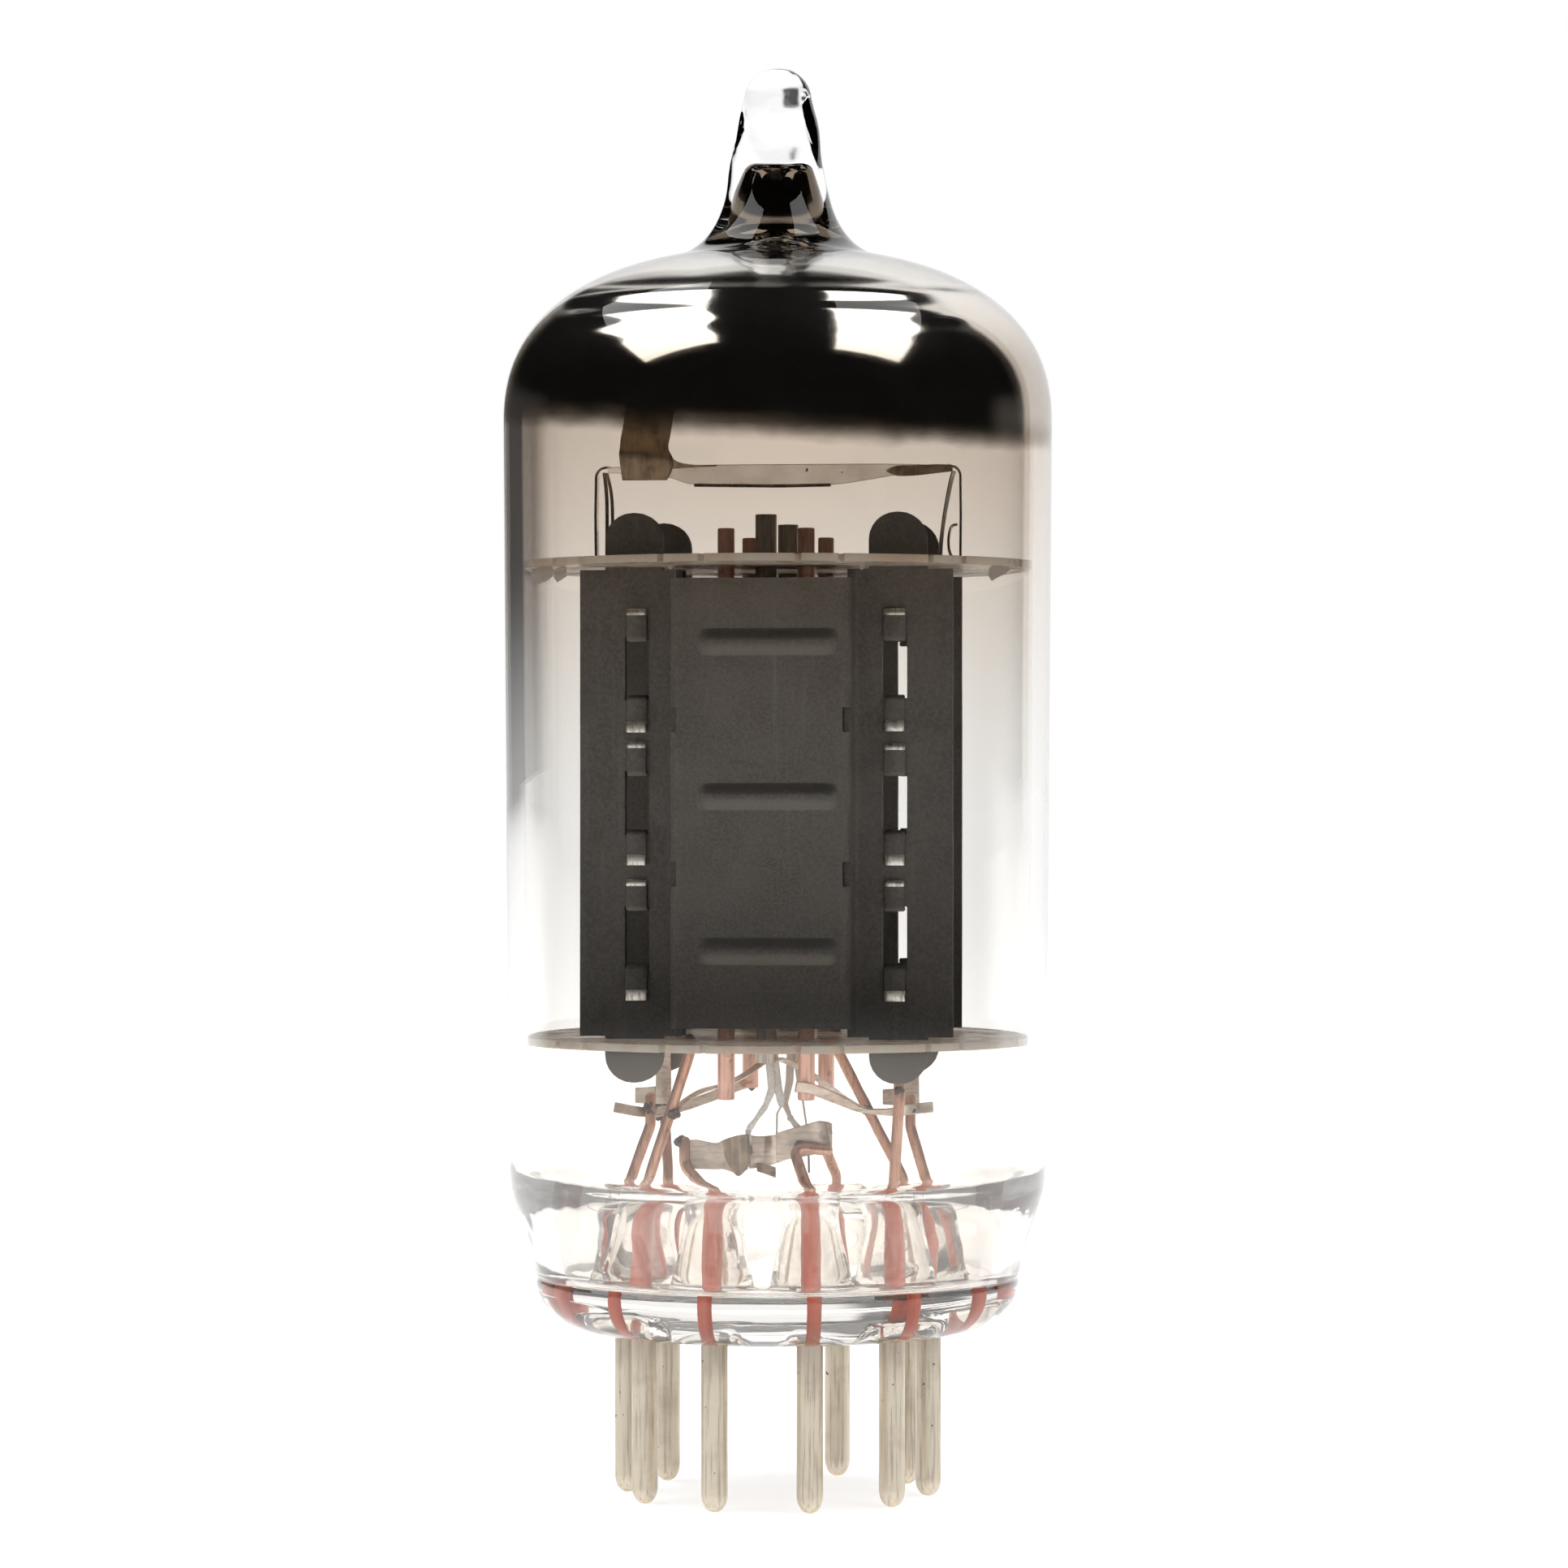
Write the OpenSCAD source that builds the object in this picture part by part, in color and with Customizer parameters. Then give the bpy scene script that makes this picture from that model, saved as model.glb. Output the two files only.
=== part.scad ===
// Miniature nine-pin twin triode vacuum tube, standing on its pins.
// Origin at the middle of the plane that the pin tips stand on, +Z up along the glass.
// The two triodes lie back to back: triode 2 faces -Y and triode 1 faces +Y.
// Pins 1 to 9 run round from the back left by the front, with the gap at the back.

/* [Glass envelope] */
// Outside diameter of the bulb at its shoulder
bulb_d = 21.6; // [20.8:0.1:24]
// Outside diameter of the bulb just above the neck
waist_d = 21.1; // [20.6:0.1:23.6]
// Outside diameter of the seam where the bulb is fused to the stem
seam_d = 19; // [18.2:0.1:20]
// Thickness of the bulb's wall
glass_t = 0.7; // [0.6:0.05:0.9]
// Height of the top of the neck above the underside of the glass
neck_h = 6.5; // [5:0.1:8]
// Height of the shoulder above the underside of the glass
shoulder_h = 35.5; // [34.5:0.1:42]
// Height of the dome above the shoulder
dome_h = 6.95; // [6.5:0.05:9]
// Squareness of the dome, where 2 is an ellipse
dome_power = 2.4; // [2:0.1:3]
// Radius at which the dome turns up into the exhaust tip
flare_r = 4.2; // [3.6:0.1:5]
// Diameter of the exhaust tip at its root
tip_root_d = 3.9; // [3.4:0.1:4.6]
// Height of the tip's root above the dome
tip_root_h = 2.55; // [2:0.05:4]
// Diameter of the exhaust tip below its round end
tip_end_d = 2.6; // [1.8:0.1:3.2]
// Length of the tip from its root to its round end
tip_len = 3.4; // [2:0.1:5]
// Height of the tip's round end
tip_cap_h = 1.2; // [0.8:0.1:1.6]
// Diameter of the bore in the tip's root
tip_bore_d = 2.2; // [1.4:0.1:2.6]
// Height of the bore's point above the tip's root
tip_bore_h = 1.1; // [0.6:0.1:2]

/* [Pressed stem] */
// Height of the seam above the underside of the glass
seam_h = 2.1; // [1.8:0.1:2.8]
// Diameter of the flat underside
stem_flat_d = 13.8; // [13.2:0.1:15]
// Width of the seam's lip
seam_w = 1.1; // [0.9:0.1:1.4]
// Diameter of a boss at its foot
boss_foot_d = 2.9; // [2.2:0.1:3.4]
// Diameter of a boss at its top
boss_top_d = 1.6; // [1.2:0.1:2]
// Height of a boss above the floor of the stem
boss_h = 2.9; // [2:0.1:3.4]

/* [Pins and leads] */
// Diameter of the circle that the pins stand on
pin_circle_d = 11.89; // [11.6:0.01:12.1]
// Angle from one pin to the next
pin_step_angle = 36; // [35:0.5:36.5]
// Diameter of a pin
pin_d = 1.016; // [0.9:0.002:1.1]
// Length of a pin below the glass
pin_len = 6.5; // [5.5:0.1:8]
// Length of a pin's head inside the glass
pin_head = 0.6; // [0.3:0.1:1]
// Diameter of a pin's head
pin_head_d = 0.66; // [0.6:0.01:0.7]
// Length of the taper from a pin to its head
pin_taper_h = 0.12; // [0.06:0.02:0.2]
// Length of the head that shows below the glass
pin_head_bare = 0.08; // [0.04:0.02:0.2]
// Diameter of a seal wire
seal_d = 0.5; // [0.4:0.02:0.7]
// Diameter of an inner lead
lead_d = 0.42; // [0.34:0.02:0.5]
// Radius of a bend in an inner lead
lead_bend_r = 0.6; // [0.4:0.05:0.8]
// Height of the room for the leads between the bosses and the lower mica
lead_room = 6.3; // [6.1:0.1:7.2]

/* [Micas] */
// Thickness of a mica
mica_t = 0.3; // [0.2:0.05:0.4]
// Gap between a mica's teeth and the glass
mica_gap = 0.05; // [0.03:0.01:0.15]
// Clear height between the two micas
cage_h = 18.2; // [16:0.1:18.6]
// Play of an electrode in its hole
hole_play = 0.05; // [0.03:0.01:0.1]
// Number of spring teeth round a mica
mica_teeth = 12; // [8:2:16]
// Width of a spring tooth
tooth_w = 1.6; // [1.2:0.1:2]
// Depth of the slits beside a tooth
slit_depth = 0.8; // [0.4:0.1:1]
// Width of a slit
slit_w = 0.25; // [0.15:0.05:0.4]

/* [Anodes] */
// Distance between the two cathodes
unit_pitch = 8.3; // [7.8:0.1:9]
// Thickness of the anode sheet
sheet_t = 0.25; // [0.15:0.05:0.3]
// Width of an anode over its wings
anode_w = 14.2; // [13.4:0.1:14.6]
// Width of the box between the wings
box_w = 6.8; // [6.2:0.1:7.2]
// Depth of the box from the wings to its face
box_depth = 2.5; // [2.1:0.1:2.8]
// Outside radius of the box's folds
fold_r = 0.5; // [0.4:0.05:0.8]
// Gap between an anode and a mica
anode_gap = 0.1; // [0.05:0.05:0.2]
// Height that the box's edges stand back from the wings' edges
box_drop = 0.4; // [0.1:0.05:0.6]
// Distance of an ear's middle from the middle of the anode
ear_x = 5.05; // [4.9:0.05:5.3]
// Width of an ear
ear_w = 2.05; // [1.8:0.05:2.4]
// Radius of an ear's corners
ear_r = 0.75; // [0.5:0.05:0.85]
// Length of an ear above the upper mica
ear_up = 1.8; // [1.3:0.1:2.2]
// Length of an ear below the lower mica
ear_down = 1.4; // [1.2:0.1:1.7]
// Distance of the clinch windows from the middle of the anode
window_x = 4.93; // [4.7:0.01:5.6]
// Width of a clinch window
window_w = 0.9; // [0.7:0.05:1.2]
// Height of a clinch window
window_h = 2.1; // [1.8:0.1:2.6]
// Distance from one clinch window to the next
window_pitch = 5.2; // [4.8:0.1:5.6]
// Length of a clinch flap on the outer sheet
flap_len = 1.3; // [0.8:0.05:1.4]
// Thickness of a clinch flap
flap_t = 0.18; // [0.12:0.02:0.24]
// Play beside a clinch flap
flap_play = 0.06; // [0.04:0.01:0.1]
// Distance from one stiffening rib to the next
rib_pitch = 5.9; // [5:0.1:6.5]
// Length of a stiffening rib
rib_len = 5.6; // [4:0.1:5.7]
// Outside radius of a stiffening rib
rib_r = 0.72; // [0.6:0.02:0.9]
// Height of a stiffening rib above the face
rib_out = 0.2; // [0.12:0.02:0.24]
// Height of the middle rib above the middle of the anode
rib_rise = 0.25; // [0:0.05:0.4]
// Height of the lanced slots in the folds
lance_h = 0.95; // [0.6:0.05:1.4]
// Depth of the lanced slots from the box's corner
lance_in = 0.45; // [0.4:0.05:0.6]

/* [Grids] */
// Diameter of a grid post
post_d = 0.65; // [0.5:0.05:0.75]
// Distance between the two posts of a grid
post_pitch = 3.08; // [2.9:0.02:3.4]
// Length of a post above the upper mica
post_up = 1.2; // [0.8:0.1:1.6]
// Length of a post below the lower mica
post_down = 2.05; // [1.8:0.05:2.2]
// Width of the grid across its turns
grid_bulge = 1.7; // [1.5:0.05:1.9]
// Thickness of the grid wire
turn_t = 0.08; // [0.05:0.01:0.12]
// Distance from one turn of the grid to the next
turn_pitch = 0.6; // [0.5:0.05:1]

/* [Cathodes and heaters] */
// Outside diameter of a cathode sleeve
sleeve_d = 0.82; // [0.74:0.02:0.9]
// Wall of a cathode sleeve
sleeve_t = 0.05; // [0.03:0.01:0.06]
// Length of a sleeve above the upper mica
sleeve_up = 1.7; // [1:0.1:2]
// Length of a sleeve below the lower mica
sleeve_down = 0.6; // [0.5:0.1:1]
// Diameter of the coated heater wire
heater_d = 0.27; // [0.2:0.01:0.29]
// Gap between the two legs of a heater
heater_gap = 0.06; // [0.04:0.01:0.08]
// Depth of the heater's bend below the top of the sleeve
heater_sink = 0.6; // [0.3:0.1:2]
// Diameter of the bare heater wire
bare_d = 0.1; // [0.06:0.02:0.12]

/* [Straps] */
// Width of a nickel strap
strap_w = 0.42; // [0.3:0.02:0.5]
// Thickness of a nickel strap
strap_t = 0.12; // [0.08:0.01:0.16]
// Gap left at a weld
weld_gap = 0.02; // [0.01:0.01:0.04]
// Width of a heater strip
strip_w = 1.1; // [0.8:0.05:1.3]
// Width of the right heater strip
strip_right_w = 0.55; // [0.5:0.05:0.7]
// Thickness of a heater strip
strip_t = 0.15; // [0.12:0.01:0.2]
// Height of the heater strips' top edges above the bosses
strip_rise = 2.7; // [2.4:0.1:2.9]
// Thickness of the tabs on the anode's ears
tab_t = 0.2; // [0.15:0.01:0.25]
// Width of a tab's bar
tab_w = 0.64; // [0.5:0.02:0.8]
// Length of a tab below the lower mica
tab_drop = 2.7; // [2.4:0.1:3]

/* [Getter] */
// Width of the getter band over its legs
band_w = 14.5; // [13.6:0.1:15]
// Height of the getter band's top edge above the upper mica
band_h = 3.9; // [3:0.05:4.2]
// Width of a leg of the band
band_leg_w = 0.5; // [0.4:0.05:0.7]
// Thickness of the getter band
band_t = 0.15; // [0.1:0.01:0.2]
// Height of the band in its middle
band_deep = 0.85; // [0.6:0.05:1.2]
// Height of the band at its ends
band_thin = 0.3; // [0.2:0.05:0.5]
// Width of the getter post
getter_post_w = 1.9; // [1.4:0.1:2.2]
// Distance of the getter post from the middle of the tube
getter_post_x = 5.2; // [4.8:0.1:5.6]
// Height of the getter ring above the band
getter_rise = 2.7; // [2:0.1:3]
// Outside diameter of the getter ring
getter_d = 8.6; // [7.6:0.1:9.4]
// Width of the getter ring's channel
channel_w = 1.1; // [0.8:0.1:1.4]
// Depth of the getter ring's channel
channel_h = 0.8; // [0.6:0.1:1]
// Wall of the getter ring's channel
channel_t = 0.2; // [0.12:0.02:0.24]
// Thickness of the mirror film
film_t = 0.05; // [0.03:0.01:0.08]
// Distance of the film's lower edge above the shoulder
film_edge = 0.2; // [-0.4:0.1:1]

/* [Hidden] */

$fn = 48;
// Overlap of joined solids, and reach of a cut past a face
eps = 0.01;
past = 1;

glass_colour = [0.86, 0.9, 0.92, 0.35];
mirror_colour = [0.2, 0.19, 0.19];
mica_colour = [0.68, 0.6, 0.55];
carbon_colour = [0.29, 0.28, 0.27];
nickel_colour = [0.66, 0.63, 0.57];
copper_colour = [0.74, 0.44, 0.3];
seal_colour = [0.72, 0.28, 0.22];
coat_colour = [0.93, 0.91, 0.88];

// Heights of the main levels above the pin tips
underside_z = pin_len;
seam_z = underside_z + seam_h;
neck_z = underside_z + neck_h;
shoulder_z = underside_z + shoulder_h;
dome_z = shoulder_z + dome_h;
tip_root_z = dome_z + tip_root_h;
boss_z = seam_z + boss_h;
mica_low_z = boss_z + lead_room;
cage_z = mica_low_z + mica_t;
mica_high_z = cage_z + cage_h;
roof_z = mica_high_z + mica_t;
strip_z = boss_z + strip_rise;
cage_mid_z = cage_z + cage_h / 2;

pin_r = pin_circle_d / 2;
wire_r = lead_d / 2;
unit_y = unit_pitch / 2;
pins = 9;

// The front lies half way between pins 4 and 5
function pin_angle(n) = (n - pins / 2) * pin_step_angle;
function pin_xy(n) = [pin_r * sin(pin_angle(n)), -pin_r * cos(pin_angle(n))];
function at(xy, z) = [xy[0], xy[1], z];
// Triode 1 is turned half round to the back, and triode 2 faces the front
function unit_turn(unit) = unit == 1 ? 180 : 0;
function unit_side(unit) = unit == 1 ? 1 : -1;

// Curves
function bezier(a, b, c, d, t) =
    pow(1 - t, 3) * a + 3 * t * pow(1 - t, 2) * b + 3 * t * t * (1 - t) * c + pow(t, 3) * d;
function bezier_points(a, b, c, d, n) = [for (i = [1:n]) bezier(a, b, c, d, i / n)];
function reversed(list) = [for (i = [len(list) - 1:-1:0]) list[i]];

// Point of a dome of radius a and height b at the angle t above its foot
function dome_point(a, b, t) =
    [a * pow(cos(t), 2 / dome_power), shoulder_z + b * pow(sin(t), 2 / dome_power)];
function dome_heading(a, b, t) =
    let (v = [-a * pow(cos(t), 2 / dome_power - 1) * sin(t), b * pow(sin(t), 2 / dome_power - 1) * cos(t)])
    v / norm(v);

// Half profile of the dome and the exhaust tip, set in by a wall, from the shoulder up to the axis
dome_steps = 12;
flare_steps = 8;
cap_steps = 6;
// Length of the first handle of the curve up to the tip
flare_pull = 1;
// Shares of the tip's radius and height that place the second handle
root_swell = 1.16;
root_pull = 0.75;
function dome_profile(wall, r_root, z_root, r_flare) =
    let (
        a = bulb_d / 2 - wall,
        b = dome_h - wall,
        t_end = acos(pow(r_flare / a, dome_power / 2)),
        start = dome_point(a, b, t_end),
        lean = start + flare_pull * dome_heading(a, b, t_end)
    )
    concat(
        [for (i = [0:dome_steps]) dome_point(a, b, t_end * i / dome_steps)],
        bezier_points(start, lean, [root_swell * r_root, z_root - root_pull * tip_root_h], [r_root, z_root],
            flare_steps));

// Shares of the neck's width and height that place the handles of its curve
neck_lean = 0.25;
neck_pull = 0.4;
neck_ease = 0.25;
function outer_profile() = concat(
    [[seam_d / 2, seam_z]],
    bezier_points([seam_d / 2, seam_z],
        [seam_d / 2 + neck_lean * (waist_d - seam_d), seam_z + neck_pull * neck_h],
        [waist_d / 2, neck_z - neck_ease * neck_h], [waist_d / 2, neck_z], flare_steps),
    dome_profile(0, tip_root_d / 2, tip_root_z, flare_r),
    [for (i = [0:cap_steps]) [tip_end_d / 2 * cos(90 * i / cap_steps),
        tip_root_z + tip_len + tip_cap_h * sin(90 * i / cap_steps)]]);

// The cavity's half profile from the shoulder to the point of the tip's bore,
// which narrows to a share of its radius at a share of its height
bore_taper = 0.45;
bore_knee = 0.7;
function cavity_profile(wall) =
    let (
        shrink = wall - glass_t,
        r_root = tip_bore_d / 2 - shrink,
        z_root = tip_root_z - glass_t - shrink
    )
    concat(
        dome_profile(wall, r_root, z_root, flare_r - wall),
        [[bore_taper * r_root, z_root + bore_knee * (tip_bore_h + glass_t)],
            [0, z_root + tip_bore_h + glass_t]]);

// Inside radius of the bulb at a height between the neck and the shoulder
function bore_r(z) =
    (waist_d + (bulb_d - waist_d) * (z - neck_z) / (shoulder_z - neck_z)) / 2 - glass_t;

lip_r = seam_d / 2 - seam_w;
// Handles of the curve inside the neck
lip_pull = 0.3;
lip_lean = 0.3;

module glass_bulb() {
    cavity = cavity_profile(glass_t);
    neck_inside = bezier_points([waist_d / 2 - glass_t, neck_z],
        [waist_d / 2 - glass_t, neck_z - lip_pull * neck_h],
        [lip_r + lip_lean, seam_z + lip_pull * neck_h], [lip_r, seam_z], flare_steps);
    color(glass_colour)
        rotate_extrude($fn = 128)
            polygon(concat(outer_profile(), reversed(cavity), [[waist_d / 2 - glass_t, neck_z]],
                neck_inside));
}

module getter_mirror() {
    skin = [for (p = cavity_profile(glass_t)) if (p[1] > shoulder_z + film_edge) p];
    inner = [for (p = cavity_profile(glass_t + film_t)) if (p[1] > shoulder_z + film_edge) p];
    color(mirror_colour)
        rotate_extrude($fn = 128)
            polygon(concat(skin, reversed(inner)));
}

module stem_base() {
    rim = [for (i = [0:cap_steps]) [
        stem_flat_d / 2 + (seam_d - stem_flat_d) / 2 * sin(90 * i / cap_steps),
        seam_z - seam_h * cos(90 * i / cap_steps)]];
    color(glass_colour)
        difference() {
            union() {
                rotate_extrude($fn = 128)
                    polygon(concat([[0, underside_z]], rim, [[0, seam_z]]));
                for (n = [1:pins])
                    translate(at(pin_xy(n), seam_z - eps))
                        cylinder(h = boss_h + eps, d1 = boss_foot_d, d2 = boss_top_d);
            }
            for (n = [1:pins])
                translate(at(pin_xy(n), 0)) {
                    translate([0, 0, underside_z - eps])
                        cylinder(h = pin_head + eps, d = pin_head_d);
                    cylinder(h = boss_z + eps, d = seal_d);
                }
        }
}

// A contact pin with a round tip and a taper to the head that is set in the glass
module pin(n) {
    taper_z = underside_z - pin_head_bare - pin_taper_h;
    color(nickel_colour)
        translate(at(pin_xy(n), 0)) {
            rotate_extrude()
                intersection() {
                    square([pin_d, taper_z]);
                    union() {
                        translate([0, pin_d / 2])
                            circle(d = pin_d);
                        translate([0, pin_d / 2])
                            square([pin_d / 2, taper_z - pin_d / 2]);
                    }
                }
            translate([0, 0, taper_z])
                cylinder(h = pin_taper_h, d1 = pin_d, d2 = pin_head_d);
            translate([0, 0, underside_z - pin_head_bare - eps])
                cylinder(h = pin_head_bare + pin_head + eps, d = pin_head_d);
        }
}

// The seal wire that carries a pin through the glass
module seal(n) {
    color(seal_colour)
        translate(at(pin_xy(n), underside_z + pin_head))
            cylinder(h = boss_z - underside_z - pin_head, d = seal_d);
}

// Unit vector from one point towards another
function heading(a, b) = (b - a) / norm(b - a);

// Points round a knee at b, on an arc of radius r that touches both arms
knee_steps = 4;
function knee(a, b, c, r) =
    let (
        u = heading(a, b),
        v = heading(b, c),
        turn = acos(u * v),
        n = heading(u * (u * v), v),
        start = b - u * r * tan(turn / 2)
    )
    [for (i = [0:knee_steps])
        start + r * (u * sin(turn * i / knee_steps) + n * (1 - cos(turn * i / knee_steps)))];

// The row of points with each knee rounded
function rounded(points, r) =
    let (last = len(points) - 1)
    [for (i = [0:last])
        for (p = i == 0 || i == last ? [points[i]] : knee(points[i - 1], points[i], points[i + 1], r)) p];

// Heading of a wire at each of its points
function headings(points) =
    let (last = len(points) - 1)
    [for (i = [0:last]) heading(points[max(i - 1, 0)], points[min(i + 1, last)])];

// A side direction for each heading, carried along the wire without a twist
function sides_along(tangents, side, i = 0) =
    i == len(tangents) ? [] :
    let (flat = side - tangents[i] * (side * tangents[i]), unit = flat / norm(flat))
    concat([unit], sides_along(tangents, unit, i + 1));

// A round wire through a row of points, with a radius for each point
lead_facets = 12;
heater_facets = 8;
module wire(points, radii, facets) {
    tangents = headings(points);
    sides = sides_along(tangents, [0.6, 0.8, 0]);
    rings = len(points);
    skin = [for (i = [0:rings - 1])
        for (k = [0:facets - 1])
            points[i] + radii[i] * (sides[i] * cos(360 * k / facets)
                + cross(tangents[i], sides[i]) * sin(360 * k / facets))];
    walls = [for (i = [0:rings - 2])
        for (k = [0:facets - 1])
            let (a = i * facets + k, b = i * facets + (k + 1) % facets)
            for (face = [[a, b + facets, b], [a, a + facets, b + facets]]) face];
    polyhedron(skin, concat(walls,
        [[for (k = [0:facets - 1]) k]],
        [[for (k = [facets - 1:-1:0]) (rings - 1) * facets + k]]));
}

// Mica places and holes
ear_hole = [ear_w + 2 * hole_play, 2 * sheet_t + 2 * hole_play];
lead_3_hole = [-3, -3.8];
lead_8_hole = [2.1, 2.3];

module mica_blank(z) {
    r = bore_r(z) - mica_gap;
    difference() {
        cylinder(h = mica_t, r = r, $fn = 128);
        for (i = [0:mica_teeth - 1])
            for (side = [-1, 1])
                rotate([0, 0, (i + 0.5) * 360 / mica_teeth])
                    translate([r - slit_depth, (side * tooth_w - slit_w) / 2, -eps])
                        cube([slit_depth + past, slit_w, mica_t + 2 * eps]);
        for (unit = [1, 2])
            rotate([0, 0, unit_turn(unit)])
                translate([0, -unit_y, -eps]) {
                    cylinder(h = mica_t + 2 * eps, d = sleeve_d + 2 * hole_play);
                    for (side = [-1, 1]) {
                        translate([side * post_pitch / 2, 0, 0])
                            cylinder(h = mica_t + 2 * eps, d = post_d + 2 * hole_play);
                        translate([side * ear_x - ear_hole[0] / 2, -ear_hole[1] / 2, 0])
                            cube([ear_hole[0], ear_hole[1], mica_t + 2 * eps]);
                    }
                }
    }
}

module mica_top() {
    color(mica_colour)
        translate([0, 0, mica_high_z])
            difference() {
                mica_blank(mica_high_z);
                for (side = [-1, 1])
                    translate([side * (band_w - band_leg_w) / 2, 0, mica_t / 2])
                        cube([band_leg_w + 2 * hole_play, band_t + 2 * hole_play, mica_t + past],
                            center = true);
            }
}

module mica_bottom() {
    color(mica_colour)
        translate([0, 0, mica_low_z])
            difference() {
                mica_blank(mica_low_z);
                for (xy = [lead_3_hole, lead_8_hole])
                    translate(at(xy, -eps))
                        cylinder(h = mica_t + 2 * eps, d = lead_d + 2 * hole_play);
            }
}

// Anode parts in the frame of one triode, whose wings meet at y = 0 and whose outer box faces -Y
shell_h = cage_h - 2 * anode_gap;

// Box outline with round folds, open towards the wings
module box_outline(w, depth, r) {
    translate([-w / 2, r - depth])
        square([w, depth - r]);
    translate([r - w / 2, -depth])
        square([w - 2 * r, depth]);
    for (side = [-1, 1])
        translate([side * (w / 2 - r), r - depth])
            circle(r = r);
}

module shell_outline() {
    box_outline(box_w, box_depth, fold_r);
    translate([-anode_w / 2, -sheet_t])
        square([anode_w, sheet_t]);
}

module shell_room() {
    translate([0, 0, -shell_h / 2 - past])
        linear_extrude(shell_h + 2 * past)
            translate([0, eps])
                box_outline(box_w - 2 * sheet_t, box_depth - sheet_t + eps, fold_r - sheet_t);
}

module ear(out) {
    reach = out + mica_t + anode_gap;
    translate([0, 0, shell_h / 2])
        rotate([90, 0, 0])
            linear_extrude(sheet_t) {
                translate([-ear_w / 2, -eps])
                    square([ear_w, reach - ear_r + eps]);
                translate([ear_r - ear_w / 2, 0])
                    square([ear_w - 2 * ear_r, reach]);
                for (side = [-1, 1])
                    translate([side * (ear_w / 2 - ear_r), reach - ear_r])
                        circle(r = ear_r);
            }
}

// One pressed half of an anode, with ribs, lanced folds, windows and ears
module half_shell() {
    groove_r = rib_r - sheet_t;
    rib_y = rib_r - rib_out - box_depth;
    difference() {
        union() {
            translate([0, 0, -shell_h / 2])
                linear_extrude(shell_h)
                    shell_outline();
            for (i = [-1:1])
                translate([-rib_len / 2, rib_y, rib_rise + i * rib_pitch])
                    rotate([0, 90, 0])
                        cylinder(h = rib_len, r = rib_r);
            for (end = [0, 1])
                mirror([0, 0, end])
                    for (side = [-1, 1])
                        translate([side * ear_x, 0, 0])
                            ear(end == 0 ? ear_up : ear_down);
        }
        // Room inside the box and grooves behind the ribs
        shell_room();
        for (i = [-1:1])
            translate([sheet_t - rib_len / 2, rib_y, rib_rise + i * rib_pitch])
                rotate([0, 90, 0])
                    cylinder(h = rib_len - 2 * sheet_t, r = groove_r);
        // The box's edges stand back from the micas
        for (end = [0, 1])
            mirror([0, 0, end])
                translate([-box_w / 2 - eps, -box_depth - past, shell_h / 2 - box_drop])
                    cube([box_w + 2 * eps, box_depth + past - sheet_t, box_drop + past]);
        // Lanced slots in the folds and clinch windows in the wings
        for (side = [-1, 1]) {
            for (end = [-1, 1])
                translate([side * box_w / 2, -box_depth, rib_rise + end * rib_pitch / 2])
                    cube([2 * lance_in, 2 * lance_in, lance_h], center = true);
            for (i = [-1:1])
                translate([side * window_x, -sheet_t / 2, i * window_pitch])
                    cube([window_w, 2 * sheet_t, window_h], center = true);
        }
    }
}

// Flaps of the inner half, folded through a window and over the outer half
module clinch_flaps() {
    w = window_w - 2 * flap_play;
    for (end = [0, 1])
        mirror([0, 0, end]) {
            translate([-w / 2, -sheet_t - weld_gap - flap_t, window_h / 2 - flap_t])
                cube([w, flap_t, flap_t + flap_len]);
            translate([-w / 2, -sheet_t - weld_gap - flap_t, window_h / 2 - flap_t])
                cube([w, 2 * sheet_t + weld_gap + flap_t, flap_t - weld_gap]);
            translate([-w / 2, 0, window_h / 2 - flap_t])
                cube([w, sheet_t, flap_t + eps]);
        }
}

module anode_outer(unit) {
    color(carbon_colour)
        rotate([0, 0, unit_turn(unit)])
            translate([0, -unit_y, cage_mid_z])
                half_shell();
}

module anode_inner(unit) {
    color(carbon_colour)
        rotate([0, 0, unit_turn(unit)])
            translate([0, -unit_y, cage_mid_z]) {
                mirror([0, 1, 0])
                    half_shell();
                for (side = [-1, 1])
                    for (i = [-1:1])
                        translate([side * window_x, 0, i * window_pitch])
                            clinch_flaps();
            }
}

// A grid is two posts with wire turns pressed into them
post_r = post_d / 2;
turn_reach = post_pitch / 2 + post_r + turn_t / 2;
turns = floor((cage_h - 2 * turn_pitch) / turn_pitch);

// Lens outline of two arcs, cut off square at its ends
lens_tail = 0.3;
module lens(half_w, half_l) {
    chord = turn_reach + lens_tail;
    r = (chord * chord + half_w * half_w) / (2 * half_w);
    intersection() {
        translate([0, r - half_w])
            circle(r = r, $fn = 256);
        translate([0, half_w - r])
            circle(r = r, $fn = 256);
        square([2 * half_l, 4 * half_w], center = true);
    }
}

module grid(unit) {
    color(copper_colour)
        translate([0, unit_side(unit) * unit_y, 0]) {
            for (side = [-1, 1])
                translate([side * post_pitch / 2, 0, mica_low_z - post_down])
                    cylinder(h = post_down + 2 * mica_t + cage_h + post_up, d = post_d);
            for (i = [0:turns])
                translate([0, 0, cage_mid_z + (i - turns / 2) * turn_pitch - turn_t / 2])
                    linear_extrude(turn_t)
                        difference() {
                            lens(grid_bulge / 2, turn_reach);
                            lens(grid_bulge / 2 - turn_t, turn_reach - turn_t);
                        }
        }
}

sleeve_top_z = roof_z + sleeve_up;
sleeve_low_z = mica_low_z - sleeve_down;

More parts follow.
